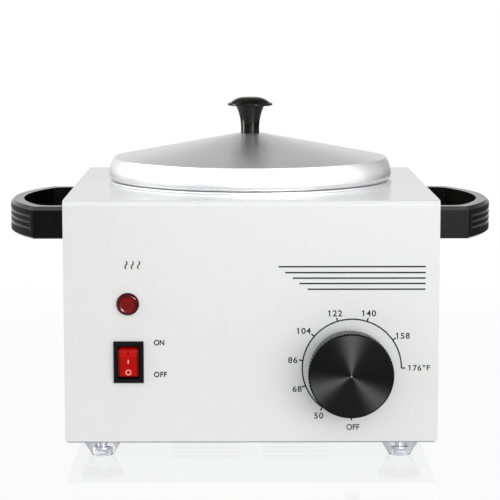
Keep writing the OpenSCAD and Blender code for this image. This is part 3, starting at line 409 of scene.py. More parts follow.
def moulded_black(name, dark, pale, grain_mm, gloss_low, gloss_high, level):
    """A near-black moulding: two close tones in soft clouds, and a fine grain in its gloss and its skin."""
    material, tree, shader, place_mm = start_finish(name, IOR=1.5, Specular_IOR_Level=level)
    cloud_mm = GRAINS_IN_CLOUD * grain_mm
    cloud = add(tree, "TexNoise", {"Vector": place_mm, "Scale": 1 / cloud_mm, "Detail": 2.0})
    grain = add(tree, "TexNoise", {"Vector": place_mm, "Scale": 1 / grain_mm, "Detail": 2.0})
    tint = add(tree, "Mix", {0: cloud.outputs["Fac"], 6: linear(dark), 7: linear(pale)}, data_type="RGBA")
    gloss = add(tree, "MapRange", {
        "Value": grain.outputs["Fac"], "From Min": NOISE_LOW, "From Max": NOISE_HIGH,
        "To Min": gloss_low, "To Max": gloss_high})
    skin = add(tree, "Bump", {"Height": grain.outputs["Fac"], "Strength": 0.15,
                              "Distance": MOULD_DEPTH_MM * MM})
    wire(tree, shader, Base_Color=tint.outputs[2], Roughness=gloss.outputs[0], Normal=skin.outputs[0])
    return material


# two tones, the grain in millimetres, the range of roughness and the level of reflection; the grains are
# coarser than those of a real mould, so that they show
phenolic = moulded_black("black_phenolic", "#030303", "#080807", 0.7, 0.12, 0.2, 0.14)
polished_phenolic = moulded_black("polished_black_phenolic", "#070706", "#0C0C0B", 0.7, 0.13, 0.17, 0.12)
black_abs = moulded_black("black_abs", "#080808", "#0D0D0D", 0.5, 0.22, 0.3, 0.06)
black_nylon = moulded_black("black_nylon", "#060707", "#0B0C0C", 0.5, 0.36, 0.46, 0.07)
print("black mouldings:", phenolic.name, polished_phenolic.name, black_abs.name, black_nylon.name)

# %% [markdown]
# ## The dial's turned face
# A thin black disc is let into the dial's front. It was faced on a lathe and blacked, so its fine rings
# gather the light into fans that meet at the middle, where the tool left a tiny pip. Anisotropy alone
# draws such fans in opposite pairs, because it takes the disc for perfectly flat. The real one shows three,
# so three soft fans of painted highlight are also mixed into its tint, each round its own clock angle, and
# the pip's glint is a painted highlight too.

# %% Turned black disc
# The lathe's rings are finer than this; they are drawn coarse enough to show.
FACE_RING_MM = 0.5
FAN_ANGLES = (0, 132, 248)
FAN_EDGE = 22
RING_SHARE = 0.12
PIP_GLINT_MM = (0.2, 0.6)
dial_axis = Vector(joints["dial_turn"]["pos_m"])
turned_black, tree, shader, place_mm = start_finish(
    "turned_black_aluminium", Metallic=0.6, Anisotropic=0.8, Anisotropic_Rotation=0.25,
    Specular_IOR_Level=0.08)
centred, around = round_axis(tree, place_mm, (dial_axis.x, 0, dial_axis.z), (0, -1, 0))
parts = add(tree, "SeparateXYZ", {0: centred})
flat = add(tree, "CombineXYZ", {"X": parts.outputs["X"], "Z": parts.outputs["Z"]})
radius = add(tree, "VectorMath", {0: flat.outputs[0]}, operation="LENGTH")
rings = add(tree, "TexNoise", {"W": radius.outputs["Value"], "Scale": 1 / FACE_RING_MM, "Detail": 2.0},
            noise_dimensions="1D")
angle = add(tree, "Math", {0: parts.outputs["X"], 1: parts.outputs["Z"]}, operation="ARCTAN2")
# Painted highlight: a light fan in the tint round each clock angle.
fans = 0.0
for clock in FAN_ANGLES:
    away = add(tree, "Math", {0: angle.outputs[0], 1: math.radians(clock)}, operation="SUBTRACT")
    wave = add(tree, "Math", {0: away.outputs[0]}, operation="COSINE")
    lobe = add(tree, "Math", {0: wave.outputs[0], 1: 0.0}, operation="MAXIMUM")
    fan = add(tree, "Math", {0: lobe.outputs[0], 1: FAN_EDGE}, operation="POWER")
    fans = add(tree, "Math", {0: fan.outputs[0], 1: fans}, operation="ADD").outputs[0]
ringed = add(tree, "Mix", {0: RING_SHARE, 2: fans, 3: rings.outputs["Fac"]})
tint = add(tree, "Mix", {0: ringed.outputs[0], 6: linear("#050505"), 7: linear("#484848")}, data_type="RGBA")
# Painted highlight: the pip's glint is a pale dot in the tint at the middle.
pip_glint = add(tree, "MapRange", {
    "Value": radius.outputs["Value"], "From Min": PIP_GLINT_MM[0], "From Max": PIP_GLINT_MM[1], "To Min": 1.0,
    "To Max": 0.0})
tint = add(tree, "Mix", {0: pip_glint.outputs[0], 6: tint.outputs[2], 7: linear("#8A8A8A")}, data_type="RGBA")
gloss = add(tree, "MapRange", {"Value": rings.outputs["Fac"], "To Min": 0.3, "To Max": 0.42})
wire(tree, shader, Base_Color=tint.outputs[2], Roughness=gloss.outputs[0], Tangent=around)
print(turned_black.name, "axis in mm:", [round(c / MM, 1) for c in dial_axis])

# %% [markdown]
# ## Clear feet
# The feet are soft clear PVC with a slightly blue cast. Glass would be too sharp, so a cloudy noise makes
# the gloss uneven, and a low IOR keeps the screw inside in sight.

# %% Clear plastic
CLOUD_MM = 6.0
clear_pvc, tree, shader, place_mm = start_finish("clear_pvc", IOR=1.2, Transmission_Weight=0.96)
cloud = add(tree, "TexNoise", {"Vector": place_mm, "Scale": 1 / CLOUD_MM, "Detail": 1.0})
tint = add(tree, "Mix", {0: cloud.outputs["Fac"], 6: linear("#F4F8FF"), 7: linear("#FFFFFF")},
           data_type="RGBA")
gloss = add(tree, "MapRange", {"Value": cloud.outputs["Fac"], "To Min": 0.08, "To Max": 0.2})
wire(tree, shader, Base_Color=tint.outputs[2], Roughness=gloss.outputs[0])
print(clear_pvc.name, "cloud in mm:", CLOUD_MM)

# %% [markdown]
# ## Red rocker
# The rocker is red polycarbonate that lets a little light in, which makes its red glow. Its two long edges
# go down into the bezel and lie in shade. A separate dark strip would show a hard line there, so the shade
# is painted into the tint, which deepens softly with the distance from the middle.

# %% Red rocker plastic
ROCKER_GRAIN_MM = 0.6
ROCKER_SHADE_MM = (3.5, 4.9)
rocker_pivot = Vector(joints["rocker_tilt"]["pos_m"])
red_rocker, tree, shader, place_mm = start_finish(
    "red_polycarbonate", IOR=1.58, Specular_IOR_Level=0.07, Subsurface_Weight=0.15,
    Subsurface_Scale=0.6 * MM, Subsurface_Radius=(1.0, 0.15, 0.1))
grain = add(tree, "TexNoise", {"Vector": place_mm, "Scale": 1 / ROCKER_GRAIN_MM, "Detail": 2.0})
tint = add(tree, "Mix", {0: grain.outputs["Fac"], 6: linear("#B80902"), 7: linear("#C40D04")},
           data_type="RGBA")
centred = add(tree, "Mapping", {"Vector": place_mm, "Location": [-c / MM for c in rocker_pivot]}).outputs[0]
outward = add(tree, "VectorMath", {0: centred}, operation="ABSOLUTE").outputs[0]
# Painted shade: the tint darkens towards the two long edges, where they go down into the bezel.
edge = add(tree, "MapRange", {
    "Value": add(tree, "SeparateXYZ", {0: outward}).outputs["X"], "From Min": ROCKER_SHADE_MM[0],
    "From Max": ROCKER_SHADE_MM[1]}, interpolation_type="SMOOTHSTEP")
tint = add(tree, "Mix", {0: edge.outputs[0], 6: tint.outputs[2], 7: linear("#4A0A06")}, data_type="RGBA")
gloss = add(tree, "MapRange", {"Value": grain.outputs["Fac"], "To Min": 0.25, "To Max": 0.4})
wire(tree, shader, Base_Color=tint.outputs[2], Roughness=gloss.outputs[0])
print(red_rocker.name, "pivot in mm:", [round(c / MM, 1) for c in rocker_pivot])

# %% [markdown]
# ## Red lamp
# The lamp's lens is a deeper red acrylic. Fine rings are moulded into its dished face, which scatter the
# neon's glow and dull the gloss. Its sloping rim is polished, and its darker tint is painted shade. The
# rings could be turned in the mesh, but at this size a ripple in tint and bump shows the same.

# %% Red lens plastic
LENS_RING_MM = 1.1
LENS_RING_DEPTH_MM = 0.05
LENS_RIM_MM = (3.9, 4.3)
LENS_MIDDLE_MM = (0.4, 1.5)
DISH_GLOSS = (0.26, 0.36)
RIM_GLOSS = 0.1
lens_low, lens_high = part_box("lamp_lens")
lens_middle = (lens_low + lens_high) / 2
red_lens, tree, shader, place_mm = start_finish(
    "red_acrylic", IOR=1.49, Transmission_Weight=0.1, Specular_IOR_Level=0.05)
centred = add(tree, "Mapping", {"Vector": place_mm, "Location": [-c / MM for c in lens_middle]}).outputs[0]
parts = add(tree, "SeparateXYZ", {0: centred})
flat = add(tree, "CombineXYZ", {"X": parts.outputs["X"], "Z": parts.outputs["Z"]})
radius = add(tree, "VectorMath", {0: flat.outputs[0]}, operation="LENGTH").outputs["Value"]
phase = add(tree, "Math", {0: radius, 1: 2 * math.pi / LENS_RING_MM}, operation="MULTIPLY")
ripple = add(tree, "Math", {0: phase.outputs[0]}, operation="COSINE")
ripple = add(tree, "MapRange", {"Value": ripple.outputs[0], "From Min": -1.0, "From Max": 1.0}).outputs[0]
tint = add(tree, "Mix", {0: ripple, 6: linear("#6E0301"), 7: linear("#8C0C07")}, data_type="RGBA")
middle_shade = add(tree, "MapRange", {
    "Value": radius, "From Min": LENS_MIDDLE_MM[0], "From Max": LENS_MIDDLE_MM[1], "To Min": 1.0,
    "To Max": 0.0}, interpolation_type="SMOOTHSTEP")
tint = add(tree, "Mix", {0: middle_shade.outputs[0], 6: tint.outputs[2], 7: linear("#640A05")},
           data_type="RGBA")
# Painted shade: the tint darkens on the sloping rim.
edge = add(tree, "MapRange", {"Value": radius, "From Min": LENS_RIM_MM[0], "From Max": LENS_RIM_MM[1]},
           interpolation_type="SMOOTHSTEP")
tint = add(tree, "Mix", {0: edge.outputs[0], 6: tint.outputs[2], 7: linear("#460101")}, data_type="RGBA")
gloss = add(tree, "MapRange", {"Value": ripple, "To Min": DISH_GLOSS[0], "To Max": DISH_GLOSS[1]})
gloss = add(tree, "Mix", {0: edge.outputs[0], 2: gloss.outputs[0], 3: RIM_GLOSS})
skin = add(tree, "Bump", {"Height": ripple, "Strength": 0.3, "Distance": LENS_RING_DEPTH_MM * MM})
wire(tree, shader, Base_Color=tint.outputs[2], Roughness=gloss.outputs[0], Normal=skin.outputs[0])
print(red_lens.name, "ring in mm:", LENS_RING_MM)

# %% [markdown]
# ## What is inside and underneath
# Plated steel, copper, brass, ceramic, glass cloth and wire insulation are only seen with the case open or
# from below. Each still gets its own tone and a grain of its real size. They differ only in numbers, so one
# recipe with two tones and a gloss range makes them all from a table.

# %% Inner finishes
GRAIN_DEPTH_MM = 0.02


def grained(name, dark, pale, grain_mm, gloss_low, gloss_high, **sockets):
    """A two-tone material with one grain that drives its colour, its gloss and a shallow relief."""
    material, tree, shader, place_mm = start_finish(name, **sockets)
    grain = add(tree, "TexNoise", {"Vector": place_mm, "Scale": 1 / grain_mm, "Detail": 3.0})
    tint = add(tree, "Mix", {0: grain.outputs["Fac"], 6: linear(dark), 7: linear(pale)}, data_type="RGBA")
    gloss = add(tree, "MapRange", {
        "Value": grain.outputs["Fac"], "From Min": NOISE_LOW, "From Max": NOISE_HIGH,
        "To Min": gloss_low, "To Max": gloss_high})
    skin = add(tree, "Bump", {"Height": grain.outputs["Fac"], "Strength": 0.2,
                              "Distance": GRAIN_DEPTH_MM * MM})
    wire(tree, shader, Base_Color=tint.outputs[2], Roughness=gloss.outputs[0], Normal=skin.outputs[0])
    return material


METAL = {"Metallic": 1.0}
SEE_THROUGH = {"Transmission_Weight": 0.8}
# name, two tones, the grain in millimetres, the range of roughness, and other sockets
inner_recipes = {
    # cold grey spangle of electroplated sheet and screws
    "zinc_plate": ("zinc_plated_steel", "#A9ADB1", "#C6C9CC", 3.0, 0.28, 0.42, METAL),
    # warm dull grey of steel that has been heated
    "heater_steel": ("annealed_steel_band", "#8C8A86", "#A8A5A0", 4.0, 0.35, 0.5, METAL),
    # pink tube with a drawn sheen
    "copper": ("drawn_copper", "#B9714A", "#CC8A62", 1.5, 0.25, 0.4, METAL),
    # pale yellow tabs and terminals
    "brass": ("tinned_brass", "#BFA65A", "#D2BC74", 1.2, 0.25, 0.4, METAL),
    # chalky cream of a fired ceramic
    "steatite": ("fired_steatite", "#D9D4C8", "#E6E2D8", 0.8, 0.5, 0.65, {}),
    # waxy ivory of an unfilled moulding
    "ivory_nylon": ("ivory_nylon", "#E2DCC6", "#EEE9D6", 0.6, 0.4, 0.5, {}),
    # soft off-white cloth without gloss
    "glass_fibre": ("glass_fibre_cloth", "#D8D2BE", "#F0ECE0", 1.2, 0.75, 0.9, {}),
    # clear bulb with a faint pink
    "neon_glass": ("neon_glass", "#E8D8CC", "#F6ECE6", 1.0, 0.05, 0.12, SEE_THROUGH),
    # rubbery insulation in the three mains colours
    "brown_wire": ("brown_silicone_wire", "#5A3A28", "#6A4632", 0.8, 0.4, 0.5, {}),
    "blue_wire": ("blue_silicone_wire", "#2F5F9E", "#3A6DB0", 0.8, 0.4, 0.5, {}),
    "earth_wire": ("green_yellow_wire", "#6E9A2E", "#C8C23A", 2.5, 0.4, 0.5, {})}
finishes = {slot: grained(*recipe, **sockets) for slot, (*recipe, sockets) in inner_recipes.items()}
print("inner finishes:", len(finishes))

# %% [markdown]
# ## Dressing the CAD solids
# The record says which slot each solid takes its finish from. The solids could be dressed one by one, but
# one table joins the slots to the finishes, and each solid's own material slot then points to its finish.
# The solids' meshes are not touched. The lid's knob has the buffed finish.

# %% Give each CAD node its finish
finishes.update({
    "powder_coat": powder_coat, "spun_aluminium": spun_aluminium, "phenolic": phenolic,
    "black_abs": black_abs, "black_nylon": black_nylon, "black_inlay": turned_black,
    "clear_pvc": clear_pvc, "red_rocker": red_rocker, "red_lens": red_lens})
node_slot = {part["node"]: part["material_slot"] for part in frame["record"]["subparts"]}
body_of = {node: body for body, held in frame["record"]["behaviour"]["bodies"].items() for node in held}
for name, node in nodes.items():
    node.material_slots[0].material = finishes[node_slot[name]]
nodes["lid_knob"].material_slots[0].material = polished_phenolic
print("dressed:", len(node_slot))

# %% [markdown]
# ## Softening edges
# Powder coat rounds every cut edge of the sheet, and a mould never has a knife-sharp corner. A thin rounded
# edge is what catches the light along an outline. A Bevel modifier would also round the seams between a CAD
# mesh's triangles, so a copy of the mesh is merged, its flat faces are joined, and only its sharp edges are
# bevelled. This copy stands for the CAD node.

# %% Softened copies
MERGE_MM = 0.002
FLAT_DEGREES = 0.2


def close_piece(bm, name, body, finish, crease=30):
    """Turns a bmesh into a named piece that rides on a body, smooth up to the crease angle."""
    mesh = bpy.data.meshes.new(name)
    bm.to_mesh(mesh)
    bm.free()
    if mesh.has_custom_normals:
        mesh.attributes.remove(mesh.attributes["custom_normal"])
    mesh.materials.clear()
    mesh.materials.append(finish)
    mesh.shade_smooth()
    mesh.set_sharp_from_angle(angle=math.radians(crease))
    piece = bpy.data.objects.new(name, mesh)
    scene.collection.objects.link(piece)
    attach(piece, body)
    return piece


def softened(name, node, width, segments=3, crease=25):
    """A copy of a CAD node with its sharp edges rounded to a width in millimetres, standing for the node."""
    bm = bmesh.new()
    bm.from_mesh(nodes[node].data)
    bmesh.ops.remove_doubles(bm, verts=bm.verts, dist=MERGE_MM * MM)
    bmesh.ops.dissolve_limit(bm, angle_limit=math.radians(FLAT_DEGREES), verts=bm.verts, edges=bm.edges)
    sharp = [edge for edge in bm.edges if edge.calc_face_angle(0) > math.radians(crease)]
    bmesh.ops.bevel(bm, geom=sharp, offset=width * MM, offset_type="OFFSET", affect="EDGES",
                    segments=segments, profile=0.5, material=-1, clamp_overlap=True)
    piece = close_piece(bm, name, body_of[node], finishes[node_slot[node]])
    weights = piece.modifiers.new("soft_shading", "WEIGHTED_NORMAL")
    weights.keep_sharp = True
    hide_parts(node)
    print(name, "edges rounded:", len(sharp), "faces:", len(piece.data.polygons))
    return piece


softened("case_shell", "case_wrap", 0.4)
softened("left_side", "side_panel_left", 0.3)
softened("right_side", "side_panel_right", 0.3)
handles = [softened("left_handle", "handle_left", 0.3), softened("right_handle", "handle_right", 0.3)]
softened("switch_bezel", "switch_body", 0.25)
softened("rocker", "switch_rocker", 0.5)
lens = softened("lamp_cover", "lamp_lens", 0.45, segments=4)
lid_shell = softened("lid_shell", "lid", 0.4)

# %% [markdown]
# ## Ribs round the dial
# Fine ribs round the dial's side give the fingers a grip. A bump would leave the dial's outline bare, so
# they are made. One rib is a thin eight-sided bar, sunk into the tapered side so that only its crown stands
# proud, and a spin copies it round the shaft's axis.

# %% Dial ribs
RIBS = 76
RIB_SIDES = 8
RIB_R = 0.64
RIB_PROUD = 0.36
RIB_END_GAP = 1.6
# the dial's radius at its back, as its solid has it
KNOB_BACK_R = 20.0
knob_low, knob_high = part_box("dial_knob")
knob_front_r = (knob_high.x - knob_low.x) / 2 / MM
knob_depth = (knob_high.y - knob_low.y) / MM
taper = math.atan2(knob_front_r - KNOB_BACK_R, knob_depth)
rib_middle_r = (knob_front_r + KNOB_BACK_R) / 2 + RIB_PROUD - RIB_R
rib_place = Matrix.Translation((
    dial_axis.x, (knob_low.y + knob_high.y) / 2, dial_axis.z + rib_middle_r * MM))
rib_place = rib_place @ Matrix.Rotation(math.radians(90) - taper, 4, "X") @ Matrix.Scale(MM, 4)
bm = bmesh.new()
bmesh.ops.create_cone(bm, cap_ends=True, segments=RIB_SIDES, radius1=RIB_R, radius2=RIB_R,
                      depth=knob_depth - 2 * RIB_END_GAP, matrix=rib_place)
bmesh.ops.spin(bm, geom=bm.verts[:] + bm.edges[:] + bm.faces[:], cent=dial_axis, axis=(0, 1, 0),
               angle=2 * math.pi * (RIBS - 1) / RIBS, steps=RIBS - 1, use_duplicate=True)
bmesh.ops.recalc_face_normals(bm, faces=bm.faces)
dial_ribs = close_piece(bm, "dial_ribs", "dial", black_abs)
print("ribs:", RIBS, "faces:", len(dial_ribs.data.polygons))

# %% [markdown]
# ## Cards for the gloss
# Black and red gloss show their shape only by what they mirror, so a photographer stands white cards round
# a glossy piece. Two cards behind the object light the grooves and bevels of the handles. A tall one at the
# right lights the dial's side and the lid, two narrow strips draw the bright lines down the knob's stem,
# and a small one puts the glint on the lamp's rim. Light linking keeps each card on its own pieces, so that
# the lid doesn't burn out and the dial throws no hard shadow.

# %% Cards
def card(name, azimuth, elevation, distance, width, height, radiance, pieces):
    """A softbox that only some pieces see."""
    lit = bpy.data.collections.new("lit_by_" + name)
    for piece in pieces:
        lit.objects.link(piece)
    lamp = softbox(name, azimuth, elevation, distance, width, height, radiance)
    lamp.light_linking.receiver_collection = lit
    return lamp


card("left_card", -125, 42, 1.1, 1.0, 0.3, 60.0, handles)
card("right_card", 125, 42, 1.1, 1.0, 0.3, 4.0, handles)
card("right_strip", 37, 15, 0.95, 0.3, 0.7, 3.0, [nodes["dial_knob"], dial_ribs, lid_shell])
card("knob_right_strip", 34, 4, 0.6, 0.12, 0.9, 16.0, [nodes["lid_knob"]])
card("knob_left_strip", -92, 4, 0.6, 0.2, 0.9, 24.0, [nodes["lid_knob"]])
glint = card("lens_card", 50, 35, 0.9, 0.8, 0.25, 150.0, [lens])
glint.visible_diffuse = False
linked = [o for o in scene.objects if o.type == "LIGHT" and o.light_linking.receiver_collection]
print("cards:", [lamp.name for lamp in linked])

# %% [markdown]
# ## Printing on the front
# The scale, the words and the stripes are silk-screened: a film of black ink a few hundredths of a
# millimetre thick. They could be drawn in the panel's material, but letters are hard to draw with nodes and
# come out crisp as shapes. Each print is a thin solid that sits just proud of the panel and rides with the
# case.

# %% Screen ink
INK_MM = 0.04
INK_SUNK_MM = 0.01


def screen_ink(name, dark, pale, grain_mm, gloss_low, gloss_high):
    """Dried ink: two close tones and a matt gloss, broken by the grain of the screen."""
    material, tree, shader, place_mm = start_finish(name, IOR=1.5, Specular_IOR_Level=0.3)
    grain = add(tree, "TexNoise", {"Vector": place_mm, "Scale": 1 / grain_mm, "Detail": 2.0})
    tint = add(tree, "Mix", {0: grain.outputs["Fac"], 6: linear(dark), 7: linear(pale)}, data_type="RGBA")
    gloss = add(tree, "MapRange", {"Value": grain.outputs["Fac"], "To Min": gloss_low, "To Max": gloss_high})
    wire(tree, shader, Base_Color=tint.outputs[2], Roughness=gloss.outputs[0])
    return material


# The threads of a screen are finer than these grains, which are drawn coarse enough to show.
ink = screen_ink("black_screen_ink", "#0A0A0A", "#121212", 0.5, 0.45, 0.6)
mark_ink = screen_ink("pale_screen_ink", "#F2A8A2", "#FFC4BE", 0.4, 0.4, 0.55)
print("inks:", ink.name, mark_ink.name)

# %% [markdown]
# Small helpers draw in ink, flat and in millimetres, as a print is drawn on paper: a block, a line bent
# round a middle, and any flat shape raised to the thickness of the ink. One more stands a finished print up
# on the panel. Drawing each print where it stands would do as well, but flat drawings are easier to read.

# %% Drawing in ink
front_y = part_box("case_wrap")[0].y
upright = Matrix.Rotation(math.radians(90), 4, "X")
on_front = Matrix.Translation((0, front_y + INK_SUNK_MM * MM, 0)) @ upright @ Matrix.Scale(MM, 4)


def ink_block(bm, x, y, width, height, turn=0):
    """A rectangle of ink by its middle and its size in millimetres, turned about its middle by degrees."""
    place = Matrix.Translation((x, y, INK_MM / 2)) @ Matrix.Rotation(math.radians(turn), 4, "Z")
    bmesh.ops.create_cube(bm, size=1, matrix=place @ Matrix.Diagonal((width, height, INK_MM, 1)))


def ink_round(bm, radius, width, turn, steps):
    """An arc or ring of ink round the origin by its middle radius, its width and its turn in degrees."""
    corners = [bm.verts.new((radius + side * width / 2, 0, height)) for side, height in (
        (-1, 0), (1, 0), (1, INK_MM), (-1, INK_MM))]
    whole = turn == 360
    section = [bm.faces.new(corners)] if not whole else [
        bm.edges.new((a, b)) for a, b in zip(corners, corners[1:] + corners[:1])]
    bmesh.ops.spin(bm, geom=section, cent=(0, 0, 0), axis=(0, 0, 1), angle=math.radians(turn), steps=steps,
                   use_merge=whole)
    bmesh.ops.recalc_face_normals(bm, faces=bm.faces)


def raise_ink(flat):
    """Gives a flat print the thickness of a film of ink."""
    raised = bmesh.ops.extrude_face_region(flat, geom=flat.faces[:], use_keep_orig=True)["geom"]
    top = [part for part in raised if isinstance(part, bmesh.types.BMVert)]
    bmesh.ops.translate(flat, vec=(0, 0, INK_MM), verts=top)
    bmesh.ops.recalc_face_normals(flat, faces=flat.faces)


def close_print(bm, name):
    """Stands a print drawn flat in millimetres up on the case's front."""
    bmesh.ops.transform(bm, matrix=on_front, verts=bm.verts)
    return close_piece(bm, name, "housing", ink)


print("front panel at y in mm:", round(front_y / MM, 2))

# %% [markdown]
# A word or number starts as Blender's own text. Its outlines are thickened a little, as ink spreads, and it
# is made a mesh, scaled to its height and raised like the rest. Letters built from bars would take longer
# and look stiff.

# %% Words in ink
LETTER_WEIGHT = 0.018
LETTER_MERGE = 0.0001


def ink_word(bm, text, x, y, height, stretch=1.0, spacing=1.0, weight=LETTER_WEIGHT):
    """A word or number of ink by its middle and height in millimetres. Returns where its left side is."""
    curve = bpy.data.curves.new("word", "FONT")
    curve.body = text
    curve.align_x = "CENTER"
    curve.offset = weight
    curve.space_character = spacing
    word = bpy.data.objects.new("word", curve)
    flat_word = bpy.data.meshes.new_from_object(word)
    letters = bmesh.new()
    letters.from_mesh(flat_word)
    bmesh.ops.remove_doubles(letters, verts=letters.verts, dist=LETTER_MERGE)
    # The weight folds a sliver over at the waist of an eight, on an edge that then has three faces.
    crowded = [edge for edge in letters.edges if len(edge.link_faces) > 2]
    slivers = {min(edge.link_faces, key=lambda face: face.calc_area()) for edge in crowded}
    bmesh.ops.delete(letters, geom=list(slivers), context="FACES")
    low = min(v.co.y for v in letters.verts)
    high = max(v.co.y for v in letters.verts)
    scale = height / (high - low)
    fit = Matrix.Translation((x, y - height / 2, 0)) @ Matrix.Diagonal((scale * stretch, scale, 1, 1))
    bmesh.ops.transform(letters, matrix=fit @ Matrix.Translation((0, -low, 0)), verts=letters.verts)
    left = min(v.co.x for v in letters.verts)
    raise_ink(letters)
    letters.to_mesh(flat_word)
    letters.free()
    bm.from_mesh(flat_word)
    bpy.data.objects.remove(word)
    bpy.data.curves.remove(curve)
    bpy.data.meshes.remove(flat_word)
    return left


print("ink thickness in mm:", INK_MM)

# %% [markdown]
# The dial's scale is an arc of two thirds of a turn with a tick and a number at each step, and OFF at the
# bottom. It was printed a little off the shaft's axis, to the right. The arc is one small section spun
# about its middle. Blender's own typeface draws a one as a bare bar, so a short slanting flag is added to
# its top.

# %% Dial scale
ARC_R = 24.65
ARC_W = 0.72
ARC_TURN = 234
ARC_STEPS = 90
TICK_L = 1.9
TICK_MIDDLE_R = ARC_R + TICK_L / 2
NUMBER_H = 3.1
NUMBER_SPACING = 1.14
NUMBER_STRETCH = 1.06
WORD_STRETCH = 0.9
FLAG_L = 1.0
FLAG_W = 0.4
FLAG_TURN = 38
FLAG_LEFT = 0.12
FLAG_DROP = 0.5
SCALE_OFF_AXIS = (1.3, 0.4)
OFF_PLACE = (50.6, 17.8)
dial_x = dial_axis.x / MM + SCALE_OFF_AXIS[0]
dial_z = dial_axis.z / MM + SCALE_OFF_AXIS[1]
# each number with its tick's angle and the place of its middle
scale_marks = {
    "50": (234, 33.5, 23.6), "68": (201, 22.7, 37.2), "86": (171, 20.5, 51.8), "104": (139.5, 25.8, 66.5),
    "122": (107, 41.3, 75.3), "140": (72.5, 58.1, 75.3), "158": (35, 75.0, 64.0), "176°F": (0, 83.3, 47.8)}
bm = bmesh.new()
ink_round(bm, ARC_R, ARC_W, ARC_TURN, ARC_STEPS)
bmesh.ops.translate(bm, vec=(dial_x, dial_z, 0), verts=bm.verts)
for number, (angle, x, z) in scale_marks.items():
    turn = math.radians(angle)
    tick_x = dial_x + TICK_MIDDLE_R * math.cos(turn)
    tick_z = dial_z + TICK_MIDDLE_R * math.sin(turn)
    ink_block(bm, tick_x, tick_z, TICK_L, ARC_W, angle)
    left = ink_word(bm, number, x, z, NUMBER_H, stretch=NUMBER_STRETCH, spacing=NUMBER_SPACING)
    if number.startswith("1"):
        ink_block(bm, left - FLAG_LEFT, z + NUMBER_H / 2 - FLAG_DROP, FLAG_L, FLAG_W, FLAG_TURN)
ink_word(bm, "OFF", *OFF_PLACE, NUMBER_H, stretch=WORD_STRETCH)
ink_block(bm, dial_x, dial_z - TICK_MIDDLE_R, ARC_W, TICK_L)
dial_scale = close_print(bm, "dial_scale")
print("dial scale faces:", len(dial_scale.data.polygons))

# %% [markdown]
# Five stripes run in from the right, each a little shorter than the one above. They could be one array, but
# the steps on the real panel aren't even, so each has its own height and start. ON and OFF stand beside the
# switch, in a heavier letter than the scale's.

# %% Stripes and switch words
STRIPE_W = 0.76
STRIPE_END = 86.1
SWITCH_WORD_H = 2.9
WORD_WEIGHT = 0.034
# each stripe's height and the place of its left end
stripes = ((98.65, 13.4), (95.7, 16.7), (92.95, 20.4), (90.25, 23.7), (87.4, 27.8))
# each word with the place of its middle and the spacing of its letters
switch_marks = (("ON", -45.8, 60.7, 1.0), ("OFF", -45.3, 44.6, NUMBER_SPACING))
bm = bmesh.new()
for z, start in stripes:
    ink_block(bm, (start + STRIPE_END) / 2, z, STRIPE_END - start, STRIPE_W)
close_print(bm, "front_stripes")

bm = bmesh.new()
for word, x, z, spacing in switch_marks:
    ink_word(bm, word, x, z, SWITCH_WORD_H, stretch=WORD_STRETCH, spacing=spacing, weight=WORD_WEIGHT)
switch_words = close_print(bm, "switch_words")
print("stripes:", len(stripes), "switch word faces:", len(switch_words.data.polygons))

# %% [markdown]
# Over the lamp is the plain sign for heat, three rising waves. A curve with a width would do as well. Here
# each wave is a short edge spun up round one bend and on round a second one the other way. The two middles
# lie in line with the edge where the bends meet, so they join smoothly.

# %% Heat sign
WAVE_R = 1.15
WAVE_W = 0.62
WAVE_TURN = math.radians(110)
WAVE_STEPS = 12
WAVE_Z = 98.6
wave_places = (-62.4, -59.3, -56.2)
bm = bmesh.new()
for x in wave_places:
    start = bm.verts.new((x - WAVE_W / 2, WAVE_Z, 0))
    end = bm.verts.new((x + WAVE_W / 2, WAVE_Z, 0))
    rung = [start, end, bm.edges.new((start, end))]
    centre = Vector((x + WAVE_R, WAVE_Z, 0))
    bmesh.ops.rotate(bm, cent=centre, matrix=Matrix.Rotation(WAVE_TURN / 2, 3, "Z"), verts=[start, end])
    for lean in (-1, 1):
        spun = bmesh.ops.spin(bm, geom=rung, cent=centre, axis=(0, 0, lean), angle=WAVE_TURN,
                              steps=WAVE_STEPS)
        rung = spun["geom_last"]
        ends = [part.co for part in rung if isinstance(part, bmesh.types.BMVert)]
        centre = (ends[0] + ends[1]) - centre
raise_ink(bm)
heat_sign = close_print(bm, "heat_sign")
print("heat sign faces:", len(heat_sign.data.polygons))

# %% [markdown]
# ## The rocker's marks
# The rocker's face is a shallow V, hollow in the middle, so a finger finds its ends. A bar for on is
# printed on its upper half and a ring for off on its lower half. Both are drawn flat and then laid on the
# half that carries them, at the rocker's tilt.

# %% Bar and ring
# the rocker's round, its face and the dip in it, as its solid has them
ROCKER_R = 7.8
FACE_TURN = math.radians(41)
FACE_DIP = 0.7
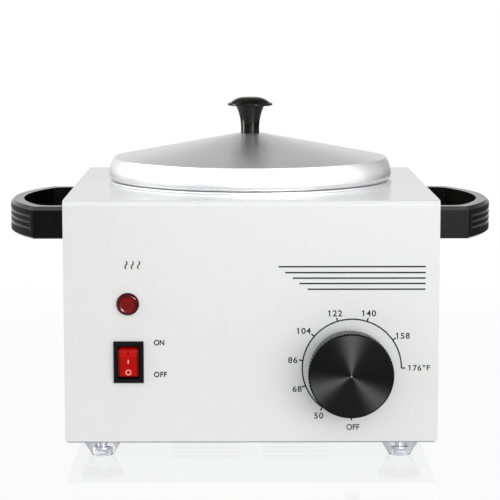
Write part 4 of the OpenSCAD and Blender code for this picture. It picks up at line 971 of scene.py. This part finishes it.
# the marks in millimetres, and how far up or down the face they stand
ON_BAR = (0.54, 2.4)
ON_AT = 0.46
OFF_R = 1.22
OFF_W = 0.5
OFF_STEPS = 120
OFF_AT = -0.67
face_out = ROCKER_R * math.cos(FACE_TURN)
face_half = ROCKER_R * math.sin(FACE_TURN)
rocker_tilt = math.radians(joints["rocker_tilt"]["range_deg"][1] / 2)
rocker_rest = Matrix.Translation(rocker_pivot) @ Matrix.Rotation(rocker_tilt, 4, "X") @ Matrix.Scale(MM, 4)


def on_rocker(share):
    """The place on the rocker's face at a share of the way from its middle up, or down if negative."""
    out = face_out - FACE_DIP * (1 - abs(share)) - INK_SUNK_MM
    lean = math.copysign(math.atan2(FACE_DIP, face_half), share)
    spot = rocker_rest @ Matrix.Translation((0, -out, share * face_half))
    return spot @ Matrix.Rotation(lean, 4, "X") @ upright


bm = bmesh.new()
ink_block(bm, 0, 0, *ON_BAR)
bmesh.ops.transform(bm, matrix=on_rocker(ON_AT), verts=bm.verts)
close_piece(bm, "on_mark", "rocker", mark_ink)

bm = bmesh.new()
ink_round(bm, OFF_R, OFF_W, 360, OFF_STEPS)
bmesh.ops.transform(bm, matrix=on_rocker(OFF_AT), verts=bm.verts)
close_piece(bm, "off_mark", "rocker", mark_ink)
print("rocker tilt in degrees:", round(math.degrees(rocker_tilt), 1))

# %% [markdown]
# A thin mould line runs up the rocker's rounded upper end, and the shade in its groove is painted as a dark
# red strip. A straight bar would cut into the round or stand off it, so it is a small section spun about the
# pivot.

# %% Mould line
SEAM_W = 0.4
SEAM_START = FACE_TURN + math.radians(6)
SEAM_TURN = math.radians(26)
SEAM_STEPS = 10
bm = bmesh.new()
seam_foot = ROCKER_R - INK_SUNK_MM
seam_top = ROCKER_R + INK_MM
corners = [bm.verts.new((side * SEAM_W / 2, -reach, 0)) for side, reach in (
    (-1, seam_foot), (1, seam_foot), (1, seam_top), (-1, seam_top))]
section = bm.faces.new(corners)
bmesh.ops.rotate(bm, cent=(0, 0, 0), matrix=Matrix.Rotation(-SEAM_START, 4, "X"), verts=bm.verts)
bmesh.ops.spin(bm, geom=[section], cent=(0, 0, 0), axis=(-1, 0, 0), angle=SEAM_TURN, steps=SEAM_STEPS)
bmesh.ops.recalc_face_normals(bm, faces=bm.faces)
bmesh.ops.transform(bm, matrix=rocker_rest, verts=bm.verts)
# Painted shade: the strip takes the dark red of the lens's rim, standing for the shade in the mould line's
# groove.
mould_line_shade = close_piece(bm, "rocker_mould_line_shade", "rocker", red_lens)
print("mould line faces:", len(mould_line_shade.data.polygons))
